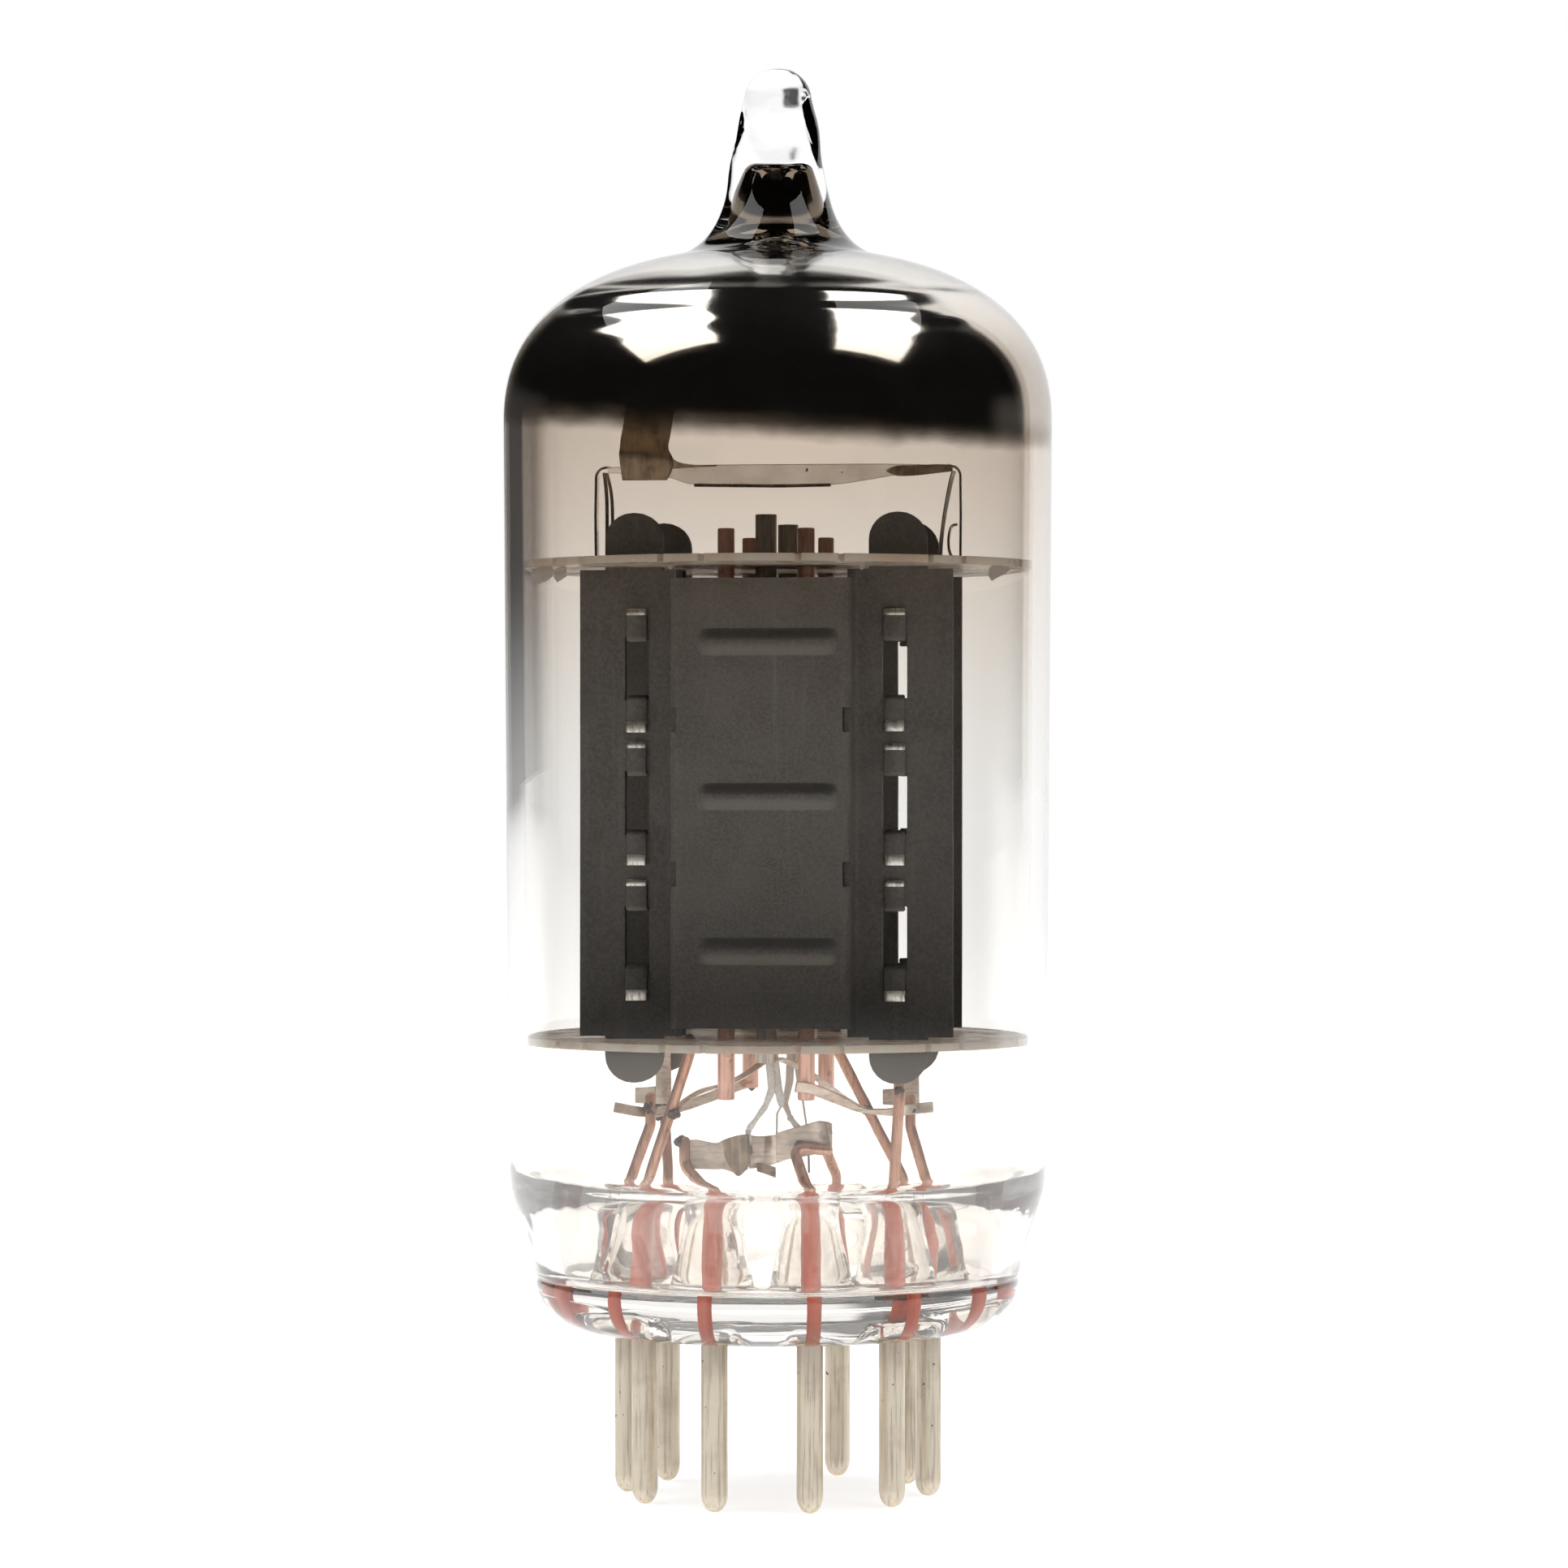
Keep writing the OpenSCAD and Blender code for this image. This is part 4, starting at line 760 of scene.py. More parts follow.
# ---------------------------------------------------------------------------------------------
# Micas: two punched discs of split mica that hold the electrodes apart. Slits in the rim leave
# springy teeth that bear on the bulb. Heat has turned them pinkish brown, and layers lift at the
# edges.
mica_brown, tree, shader = finish("punched mica", IOR=1.4, Subsurface_Weight=0.8, Subsurface_Scale=0.0004,
                                  Subsurface_Radius=(1.0, 0.9, 0.8))
layers = use(tree, clouds_group, Per_mm=0.9, Low=0.38, High=0.66, Shift=5.0)
flecks = use(tree, clouds_group, Per_mm=5.0, Detail=4.0, Low=0.5, High=0.7, Shift=2.0)
scorch = use(tree, clouds_group, Per_mm=0.35, Low=0.45, High=0.7, Shift=14.0)
colour = paint(tree, layers.outputs["Mask"], (0.95, 0.79, 0.66), (0.98, 0.88, 0.78))
colour = tinted(tree, colour, flecks, 0.5, (0.62, 0.44, 0.36))
colour = tinted(tree, colour, scorch, 0.5, (0.66, 0.5, 0.43))
colour_and_polish(tree, shader, colour, between(tree, layers.outputs["Mask"], 0.25, 0.5))
tree.links.new(between(tree, flecks.outputs["Mask"], 0.78, 0.95), shader.inputs["Alpha"])
dent(tree, shader, flecks.outputs["Height"], 0.00004, 0.6)
for node in ("mica_top", "mica_bottom"):
    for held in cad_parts[node].material_slots:
        held.material = mica_brown

random.seed(5)
flakes = []
for x, y, z, size in ((-8.6, -4.2, 36.25, 0.6), (-8.3, -4.5, 36.2, 0.45), (-7.7, -5.3, 36.2, 0.5),
                      (-8.9, -3.2, 36.2, 0.4), (8.6, -4.4, 36.25, 0.5), (8.9, -3.9, 36.2, 0.35),
                      (4.0, -8.6, 36.2, 0.25), (-3.0, -9.0, 36.2, 0.2)):
    lean = Vector((random.uniform(-0.3, 0.3), random.uniform(-0.3, 0.3), -1)).normalized()
    path = [Vector((x, y, z + 0.08)) + lean * size * k / 4 + Vector((0.04, 0.03, 0)) * math.sin(k * 1.7)
            for k in range(5)]
    flakes.append(strip(path, size * random.uniform(0.6, 1.1), 0.02,
                        (random.uniform(0.5, 1), random.uniform(-0.5, 0.5), 0), 0.005))
piece("mica_flakes", joined(*flakes), mica_brown, ())

# ---------------------------------------------------------------------------------------------
# Heater strips: snips of thin nickel ribbon, spot-welded between the leads and the heaters' bare
# ends. They are cut and bent by hand, so their edges run unevenly.
strip_nickel, tree, shader = finish("rolled nickel ribbon", Metallic=1.0)
rolled = use(tree, marks_group, Across_per_mm=0.8, Along_per_mm=7.0, Low=0.46, High=0.66, Shift=4.0)
hue = use(tree, clouds_group, Per_mm=1.0, Low=0.38, High=0.66, Shift=16.0)
burnt = use(tree, clouds_group, Per_mm=1.7, Detail=2.0, Low=0.6, High=0.7, Shift=21.0)
colour = paint(tree, hue.outputs["Mask"], (0.77, 0.66, 0.56), (0.59, 0.48, 0.4))
colour = tinted(tree, colour, rolled, 0.35, (0.27, 0.24, 0.21))
colour = tinted(tree, colour, burnt, 0.5, (0.42, 0.24, 0.2))
colour_and_polish(tree, shader, colour, between(tree, rolled.outputs["Height"], 0.3, 0.5))
dent(tree, shader, hue.outputs["Height"], 0.00006, 0.6)

burnt_nickel, tree, shader = finish("heat-browned nickel", Metallic=1.0)
brown = use(tree, clouds_group, Per_mm=1.4, Low=0.35, High=0.65, Shift=9.0)
rolled = use(tree, marks_group, Across_per_mm=6.0, Along_per_mm=0.5, Low=0.46, High=0.68, Shift=14.0)
colour = paint(tree, brown.outputs["Mask"], (0.46, 0.36, 0.25), (0.26, 0.19, 0.14))
colour = tinted(tree, colour, rolled, 0.5, (0.6, 0.5, 0.38))
colour_and_polish(tree, shader, colour, between(tree, rolled.outputs["Height"], 0.3, 0.5))
dent(tree, shader, brown.outputs["Height"], 0.00005, 0.5)


def eased_path(stops, steps=8):
    """Points on a smooth line through the stops."""
    row = [Vector(p) for p in stops]
    full = []
    for i in range(len(row) - 1):
        a, b, c, d = row[max(i - 1, 0)], row[i], row[i + 1], row[min(i + 2, len(row) - 1)]
        for k in range(steps):
            t = k / steps
            full.append(0.5 * (2 * b + (c - a) * t + (2 * a - 5 * b + 4 * c - d) * t * t
                               + (3 * b - a - 3 * c + d) * t ** 3))
    return full + [row[-1]]


def leaf(bottom, top, rows=4, steps=4):
    """A thin leaf between a lower and an upper edge, each a row of points, eased along its length."""
    low, high = eased_path(bottom, steps), eased_path(top, steps)
    points = [tuple(low[i].lerp(high[i], j / rows)) for i in range(len(low)) for j in range(rows + 1)]
    faces = [(i * (rows + 1) + j, (i + 1) * (rows + 1) + j, (i + 1) * (rows + 1) + j + 1, i * (rows + 1) + j + 1)
             for i in range(len(low) - 1) for j in range(rows)]
    return points, faces


left_leaf = leaf(
    [(-3.04, -4.62, 13.21), (-2.86, -4.58, 13.08), (-2.56, -4.55, 13.07), (-1.9, -4.5, 13.05),
     (-1.58, -4.55, 13.06), (-1.09, -4.6, 12.91), (-0.65, -4.6, 13.07)],
    [(-3.28, -4.62, 14.21), (-2.86, -4.58, 14.21), (-2.56, -4.55, 14.21), (-1.9, -4.5, 14.09),
     (-1.58, -4.55, 14.22), (-1.09, -4.6, 14.38), (-0.65, -4.6, 14.46)])
thick(piece("heater_ribbon_left", left_leaf, strip_nickel, ["heater_strip_left"]), 0.12, 0.03, 1)
fold_leaf = leaf([(-1.52, -4.7, 13.57), (-1.29, -4.78, 13.11), (-0.97, -4.82, 12.8), (-0.53, -4.74, 13.3)],
                 [(-1.64, -4.7, 14.2), (-1.32, -4.78, 14.33), (-0.94, -4.82, 14.43), (-0.6, -4.72, 14.46)])
thick(piece("heater_ribbon_fold", fold_leaf, burnt_nickel, ()), 0.1, 0.03, 1)
common_leaf = leaf(
    [(-0.62, -4.45, 13.09), (-0.37, -4.3, 13.11), (-0.03, -4.2, 13.17), (0.2, -3.7, 13.2), (0.32, -2.4, 13.22),
     (0.55, 0.3, 13.22), (0.82, 3.2, 13.22), (1.0, 4.35, 13.22), (1.3, 4.5, 13.22), (1.75, 4.5, 13.22)],
    [(-0.7, -4.45, 14.44), (-0.37, -4.3, 14.36), (-0.03, -4.2, 14.36), (0.2, -3.7, 14.36), (0.32, -2.4, 14.32),
     (0.55, 0.3, 14.32), (0.82, 3.2, 14.32), (1.0, 4.35, 14.32), (1.3, 4.5, 14.32), (1.75, 4.5, 14.32)])
thick(piece("heater_ribbon_common", common_leaf, strip_nickel, ["heater_strip_common"]), 0.12, 0.03, 1)
right_leaf = leaf(
    [(0.45, -4.5, 13.3), (0.8, -4.6, 13.45), (1.11, -4.62, 13.52), (1.43, -4.6, 13.58), (1.8, -4.62, 13.65),
     (2.05, -4.68, 13.71), (2.26, -4.72, 13.76), (2.5, -4.6, 13.8), (2.45, -4.3, 13.8)],
    [(0.4, -4.5, 14.48), (0.73, -4.6, 14.6), (1.11, -4.62, 14.71), (1.43, -4.6, 14.8), (1.74, -4.62, 14.9),
     (1.93, -4.68, 14.95), (2.1, -4.72, 14.99), (2.3, -4.6, 14.96), (2.25, -4.3, 14.9)])
return_leaf = leaf([(1.5, -4.55, 13.6), (1.56, -4.2, 13.65), (1.575, -3.6, 13.65), (1.575, -2.5, 13.65)],
                   [(1.5, -4.55, 14.7), (1.56, -4.2, 14.3), (1.575, -3.6, 14.2), (1.575, -2.5, 14.2)])
thick(piece("heater_ribbon_right", joined(right_leaf, return_leaf), strip_nickel, ["heater_strip_right"]),
      0.11, 0.03, 1)
curl_leaf = leaf([(-0.3, -4.5, 12.98), (0.05, -4.72, 12.9), (0.42, -4.62, 12.73)],
                 [(-0.35, -4.42, 13.3), (0.05, -4.5, 13.25), (0.4, -4.5, 13.15)])
thick(piece("heater_ribbon_curl", curl_leaf, strip_nickel, ()), 0.08, 0.02, 1)

# ---------------------------------------------------------------------------------------------
# Straps: narrow nickel ribbons that carry the grids' posts and the cathode sleeves to their
# leads. Each is bent and twisted as the welder brought it across.


def twisted_strap(name, stops, width, depth, node):
    """A strap through stops of place and direction of its width."""
    row = eased_path([s[0] for s in stops])
    lean = eased_path([s[1] for s in stops])
    return piece(name, strip(row, width, depth, [tuple(a) for a in lean], 0.03), strip_nickel, [node])


up = (0.0, 0.0, 1.0)
twisted_strap("grid_1_strap", [
    ((-6.45, -0.3, 15.2), up), ((-5.3, 0.27, 14.98), up), ((-4.3, 1.2, 15.05), up), ((-3.0, 2.6, 15.45), up),
    ((-1.95, 3.85, 15.85), up), ((-1.45, 4.55, 15.95), up)], 0.4, 0.11, "grid_strap_1")
twisted_strap("grid_2_strap", [
    ((1.2, -4.75, 16.3), (0.0, -0.2, 1.0)), ((1.75, -4.4, 16.2), (0.0, -0.2, 1.0)),
    ((2.7, -3.4, 15.75), (0.1, -0.5, 0.8)), ((3.5, -2.5, 15.3), (0.3, -0.9, 0.35)),
    ((4.4, -1.35, 15.15), (0.3, -0.8, 0.5)), ((5.1, -0.45, 15.18), up), ((6.1, 0.25, 15.25), up)],
    0.42, 0.11, "grid_strap_2")
twisted_strap("cathode_1_strap", [
    ((-3.62, -3.95, 15.0), (0.7, 0.1, 0.5)), ((-3.35, -3.35, 15.55), (0.9, -0.1, 0.4)),
    ((-2.75, -1.9, 15.95), (0.8, -0.5, 0.0)), ((-2.0, 0.4, 16.12), (0.8, -0.4, 0.0)),
    ((-1.2, 2.6, 16.6), (0.8, -0.4, 0.0)), ((-0.45, 4.2, 17.3), (0.8, -0.4, 0.0))], 0.38, 0.1, "cathode_strap_1")
twisted_strap("cathode_2_strap", [
    ((0.5, -4.35, 17.35), (0.8, -0.4, 0.1)), ((0.95, -3.4, 17.1), (0.8, -0.4, 0.1)),
    ((1.7, -1.9, 16.5), (0.8, -0.4, 0.0)), ((2.75, 0.5, 15.45), (0.8, -0.4, 0.0)),
    ((3.45, 2.3, 14.95), (0.8, -0.4, 0.0)), ((3.9, 3.4, 14.8), (0.8, -0.4, 0.0))], 0.38, 0.1, "cathode_strap_2")

# ---------------------------------------------------------------------------------------------
# Anode tabs: two bent nickel tabs, welded under the ears of the back anode, with a foot to
# the left. The first lead is welded to one of them.
for n, x in ((1, -5.05), (2, 5.05)):
    post = leaf([(x - 0.32, 3.78, 15.1), (x, 3.74, 15.1), (x + 0.32, 3.78, 15.15)],
                [(x - 0.3, 3.78, 17.5), (x, 3.76, 17.5), (x + 0.3, 3.78, 17.5)], 8)
    foot = leaf([(x - 1.17, 3.8, 15.12), (x - 0.7, 3.78, 15.1), (x - 0.32, 3.78, 15.1)],
                [(x - 1.17, 3.8, 15.74), (x - 0.7, 3.78, 15.76), (x - 0.32, 3.78, 15.8)], 3)
    thick(piece("anode_tab_%d_bent" % n, joined(post, foot), strip_nickel, ["anode_tab_%d" % n]),
          0.18, 0.04, 2)

# ---------------------------------------------------------------------------------------------
# Welds: beads of scorched metal where copper, nickel and steel were joined by resistance welding.
# Copper spits when it is welded, so these are lumpy and dark.
weld_black, tree, shader = finish("scorched weld", Metallic=0.6)
crust = use(tree, clouds_group, Per_mm=5.0, Detail=5.0, Low=0.4, High=0.6, Shift=2.0)
gleam = use(tree, clouds_group, Per_mm=3.0, Low=0.55, High=0.7, Shift=13.0)
colour = paint(tree, crust.outputs["Mask"], (0.07, 0.055, 0.05), (0.2, 0.14, 0.11))
colour = paint(tree, gleam.outputs["Mask"], colour, (0.5, 0.36, 0.28))
colour_and_polish(tree, shader, colour, between(tree, crust.outputs["Height"], 0.35, 0.75))
dent(tree, shader, crust.outputs["Height"], 0.00006)


def bead(place, size, seed, rings=10, around=16):
    """A lumpy bead, one size for each axis."""
    points, faces = turned([(math.sin(math.pi * i / rings), -math.cos(math.pi * i / rings))
                            for i in range(rings + 1)], around)
    lumpy = []
    for p in points:
        v = Vector(p)
        v *= 1 + 0.32 * noise.noise(v * 1.7 + Vector((seed, seed * 2, 0)))
        lumpy.append((place[0] + v.x * size[0], place[1] + v.y * size[1], place[2] + v.z * size[2]))
    return lumpy, faces


beads = [
    ((-5.2, 4.0, 15.0), (0.3, 0.25, 0.22)), ((-4.92, 4.0, 14.72), (0.24, 0.26, 0.26)),
    ((-5.28, 4.02, 14.6), (0.2, 0.22, 0.2)), ((-5.05, -0.02, 15.15), (0.27, 0.27, 0.32)),
    ((-3.17, -4.8, 14.15), (0.27, 0.26, 0.25)), ((-1.5, 4.35, 15.85), (0.2, 0.26, 0.22)),
    ((5.05, -3.8, 16.1), (0.2, 0.2, 0.2)), ((5.2, -0.12, 15.15), (0.26, 0.27, 0.25)),
    ((3.3, 2.75, 14.98), (0.26, 0.26, 0.2)), ((-3.6, -3.85, 15.15), (0.26, 0.26, 0.2)),
    ((1.35, -4.72, 14.05), (0.2, 0.14, 0.18)), ((1.5, 4.68, 13.9), (0.24, 0.2, 0.24)),
]
weld_forms = [bead(place, size, 3.7 * i) for i, (place, size) in enumerate(beads)]
piece("weld_beads", joined(*weld_forms), weld_black, ())

# ---------------------------------------------------------------------------------------------
# Getter: a steel channel ring held the reactive metal that was fired to make the mirror.
# It stands on a browned post, on a bright nickel band whose two legs pass through the upper mica.
BAND_TOP, BAND_FOOT = 40.5, 36.3
RING_R, RING_FLOOR = 4.3, 43.2

band_bright, tree, shader = finish("bright nickel band", Metallic=1.0)
sheen = use(tree, clouds_group, Per_mm=0.7, Low=0.35, High=0.7, Shift=7.0)
dots = use(tree, clouds_group, Per_mm=3.1, Detail=1.0, Low=0.74, High=0.77, Shift=31.0)
colour = paint(tree, sheen.outputs["Mask"], (0.76, 0.72, 0.66), (0.66, 0.6, 0.54))
colour = paint(tree, dots.outputs["Mask"], colour, (0.12, 0.08, 0.06))
colour_and_polish(tree, shader, colour, between(tree, sheen.outputs["Height"], 0.14, 0.3))

LEAN = 0.12                     # how far the band's lower edge stands off, per height
arch_low = [(-6.75, 40.2), (-5.4, 40.14), (-4.2, 39.98), (-3.2, 39.72), (0.0, 39.66), (2.0, 39.68), (3.4, 39.85),
            (5.0, 40.1), (6.75, 40.22)]
arch_high = [(-6.75, 40.42), (-5.4, 40.46), (-4.2, 40.49), (-3.2, 40.5), (0.0, 40.5), (2.0, 40.5), (3.4, 40.5),
             (5.0, 40.48), (6.75, 40.42)]
face_leaf = leaf([(x, -0.05 + LEAN * (BAND_TOP - z), z) for x, z in arch_low],
                 [(x, -0.05, z) for x, z in arch_high])
hem_line = [(-3.3, 39.7), (-1.6, 39.67), (0.2, 39.65), (2.1, 39.68)]
hem = strip([(x, -0.09 + LEAN * (BAND_TOP - z), z) for x, z in hem_line], 0.1, 0.16, (0.0, 0.2, 1.0), 0.02)
thick(piece("getter_band_bright", face_leaf, band_bright, ["getter_band"]), 0.1, 0.02, 1)
piece("getter_band_hem", hem, burnt_nickel, ())


def band_leg(side):
    """A folded leg: a shallow channel with its two flanges turned in."""
    outer = [(side * 6.7, -0.05, 40.42), (side * 7.05, 0.0, 40.34), (side * 7.2, 0.02, 40.1),
             (side * 7.22, 0.02, 38.5), (side * 7.2, 0.02, BAND_FOOT)]
    forms = [strip(smooth_corners(outer, 0.3, 5), 0.5, 0.1, (0.0, 1.0, 0.0), 0.02)]
    if side < 0:
        for dx, y in ((0.22, -0.16), (0.4, 0.1)):
            flange = [(-6.95 + dx * 0.3, y, 40.2), (-7.0 + dx, y, 39.0), (-7.0 + dx, y, BAND_FOOT)]
            forms.append(strip(eased_path(flange), 0.14, 0.08, (1.0, 0.3, 0.0), 0.02))
    else:
        flange = [(6.95, -0.1, 40.2), (6.8, -0.1, 39.6), (6.55, -0.1, 38.2), (6.42, -0.1, 37.0),
                  (6.4, -0.1, BAND_FOOT)]
        forms.append(strip(eased_path(flange), 0.16, 0.1, (1.0, 0.4, 0.0), 0.02))
        loop = [(7.08, -0.12, 38.1), (6.86, -0.14, 38.0), (6.75, -0.14, 37.5), (6.8, -0.14, 37.0),
                (7.0, -0.12, 36.7), (7.12, -0.1, 36.5)]
        forms.append(strip(eased_path(loop), 0.12, 0.1, (0.3, 1.0, 0.0), 0.02))
    return joined(*forms)


piece("getter_band_legs", joined(band_leg(-1), band_leg(1)), band_bright, ())
patch = leaf(
    [(4.3, -0.12, 40.2), (4.7, -0.13, 40.02), (5.4, -0.13, 40.02), (6.2, -0.13, 40.1), (6.9, -0.12, 40.18)],
    [(4.3, -0.14, 40.24), (4.7, -0.15, 40.4), (5.4, -0.15, 40.42), (6.2, -0.15, 40.46), (6.9, -0.14, 40.44)])
thick(piece("getter_band_scorch", patch, burnt_nickel, ()), 0.04, 0.01, 1)

post_leaf = leaf(
    [(-6.16, -0.14, 39.9), (-6.26, -0.26, 40.85), (-6.23, -0.24, 41.2), (-6.2, -0.18, 41.6),
     (-6.07, -0.16, 42.3), (-6.0, -0.15, 43.1)],
    [(-4.36, -0.14, 39.9), (-4.1, -0.24, 40.62), (-4.3, -0.22, 41.15), (-4.24, -0.18, 41.6),
     (-4.13, -0.16, 42.3), (-4.05, -0.15, 43.1)], 6, 6)
flare = leaf([(-4.6, -0.16, 40.3), (-4.0, -0.14, 40.36), (-3.2, -0.12, 40.4), (-2.4, -0.12, 40.43)],
             [(-4.3, -0.24, 40.95), (-3.95, -0.2, 40.62), (-3.3, -0.14, 40.5), (-2.4, -0.12, 40.48)])
thick(piece("getter_post_browned", post_leaf, burnt_nickel, ["getter_post"]), 0.12, 0.03, 1)
tongue_line = [(-5.9, -0.1, 43.05), (-4.0, -0.1, 43.08), (-2.4, -0.1, 43.12)]
piece("getter_post_tongue", strip(tongue_line, 0.4, 0.12, (0.0, 1.0, 0.0)), burnt_nickel, ())
thick(piece("getter_post_flare", flare, burnt_nickel, ()), 0.06, 0.02, 1)

channel = [(RING_R - inward, RING_FLOOR + lift) for inward, lift in (
    (1.1, 0.8), (1.1, 0.06), (1.04, 0.0), (0.06, 0.0), (0.0, 0.06), (0.0, 0.8), (0.2, 0.8), (0.2, 0.25),
    (0.25, 0.2), (0.85, 0.2), (0.9, 0.25), (0.9, 0.8), (1.1, 0.8))]
piece("getter_ring_channel", turned(channel, 96), burnt_nickel, ["getter_ring"])

# ---------------------------------------------------------------------------------------------
# Glass envelope: a drawn bulb sealed onto a pressed stem, pumped out and tipped off at the top.
# The stem has a boss round each lead, and the two glasses are fused at the seam into one piece.
BULB_R, WAIST_R, SEAM_R, WALL = 10.8, 10.55, 9.5, 0.7
SEAM_Z, NECK_Z, SHOULDER_Z = 8.6, 13.0, 42.0
DOME_H, DOME_POWER, FLARE_R = 6.95, 2.4, 4.2
TIP_ROOT_R, TIP_ROOT_Z = 1.95, 51.5
TIP_TALL, TIP_NARROWS, TIP_CAP_R, TIP_CAP = 3.4, 0.65, 1.3, 1.2
BORE_R, BORE_END = 1.02, 52.2
FLOOR_EDGE = 8.4
FLOOR_RINGS = [0.0, 1.1, 2.2, 3.2, 3.9] + [4.3 + 0.1 * i for i in range(34)] + [7.7, 7.9, 8.1, 8.25, FLOOR_EDGE]
AROUND_IN, AROUND_OUT = 480, 256


def bezier(a, b, c, d, steps):
    """Points of a curve after its first, from four (radius, height) pairs."""
    row = []
    for i in range(1, steps + 1):
        t = i / steps
        row.append(tuple((1 - t) ** 3 * a[k] + 3 * t * (1 - t) ** 2 * b[k]
                         + 3 * t * t * (1 - t) * c[k] + t ** 3 * d[k] for k in (0, 1)))
    return row


def outer_dome():
    """The outline from the neck up the wall, over the shoulder and the dome to the root of the tip."""
    row = [(WAIST_R + (BULB_R - WAIST_R) * i / 16, NECK_Z + (SHOULDER_Z - NECK_Z) * i / 16) for i in range(16)]
    last = math.acos((FLARE_R / BULB_R) ** (DOME_POWER / 2))
    for i in range(37):
        t = last * i / 36
        row.append((BULB_R * math.cos(t) ** (2 / DOME_POWER),
                    SHOULDER_Z + DOME_H * math.sin(t) ** (2 / DOME_POWER)))
    way = Vector((-BULB_R * math.cos(last) ** (2 / DOME_POWER - 1) * math.sin(last),
                  DOME_H * math.sin(last) ** (2 / DOME_POWER - 1) * math.cos(last))).normalized()
    row += bezier(row[-1], (row[-1][0] + way[0], row[-1][1] + way[1]), (1.16 * TIP_ROOT_R, TIP_ROOT_Z - 1.91),
                  (TIP_ROOT_R, TIP_ROOT_Z), 20)
    return row


def outer_outline():
    """The whole outside, from under the stem to the top of the tip."""
    row = [(0.0, GLASS_UNDER), (3.0, GLASS_UNDER), (5.0, GLASS_UNDER - 0.02), (6.5, GLASS_UNDER)]
    row += arc((6.9, SEAM_Z - 0.12), 2.6, SEAM_Z - 0.12 - GLASS_UNDER, -86, -4, 14)
    row += [(SEAM_R - 0.01, SEAM_Z - 0.1), (SEAM_R - 0.04, SEAM_Z - 0.03), (SEAM_R - 0.04, SEAM_Z + 0.03),
            (SEAM_R, SEAM_Z + 0.1), (SEAM_R + 0.02, SEAM_Z + 0.16)]
    row += bezier((SEAM_R + 0.02, SEAM_Z + 0.16), (10.025, 11.2), (WAIST_R, 11.375), (WAIST_R, NECK_Z), 16)
    row += outer_dome()[1:]
    row += [(TIP_ROOT_R - TIP_NARROWS * i / 8, TIP_ROOT_Z + TIP_TALL * i / 8) for i in range(1, 8)]
    row += [(TIP_CAP_R * math.cos(math.radians(a)), TIP_ROOT_Z + TIP_TALL + TIP_CAP * math.sin(math.radians(a)))
            for a in range(0, 86, 8)]
    return row + [(0.0, TIP_ROOT_Z + TIP_TALL + TIP_CAP)]


def inner_outline(gap=0.0):
    """The cavity's outline from the neck to the end of the bore, moved in by a gap."""
    outer, row = outer_dome(), []
    for i, (r, z) in enumerate(outer):
        before, after = outer[max(i - 1, 0)], outer[min(i + 1, len(outer) - 1)]
        along = Vector((after[0] - before[0], after[1] - before[1])).normalized()
        row.append((r - (WALL + gap) * along[1], z + (WALL + gap) * along[0] if i else z))
    row = [p for p in row if p[0] > 3.95]
    bore = BORE_R - gap
    row += bezier(row[-1], (3.1, 48.2 - gap), (1.32 * bore, 48.35 - gap), (1.22 * bore, 49.5 - gap), 16)
    row += bezier(row[-1], (1.17 * bore, 50.2 - gap), (1.05 * bore, BORE_END - 0.75),
                  (0.86 * bore, BORE_END - 0.3 - gap), 10)
    row += bezier(row[-1], (0.72 * bore, BORE_END - 0.08 - gap), (0.4 * bore, BORE_END - gap),
                  (0.0, BORE_END - gap), 6)
    return row


def soft_least(a, b, blend):
    """The lesser of two values, with a smooth passage between them."""
    h = min(max(0.5 + 0.5 * (b - a) / blend, 0.0), 1.0)
    return b + (a - b) * h - blend * h * (1 - h)


def floor_height(x, y):
    """Height of the pressed floor, with a smooth boss round each lead."""
    tall = 0.0
    for n in range(1, PIN_COUNT + 1):
        px, py = pin_place(n)
        off = math.hypot(x - px, y - py)
        if off < 2.2:
            rise = soft_least(BOSS_TOP - SEAM_Z, (1.62 - off) * 4.6, 0.45)
            tall = max(tall, -soft_least(-rise, 0.0, 0.5))
    return SEAM_Z + tall


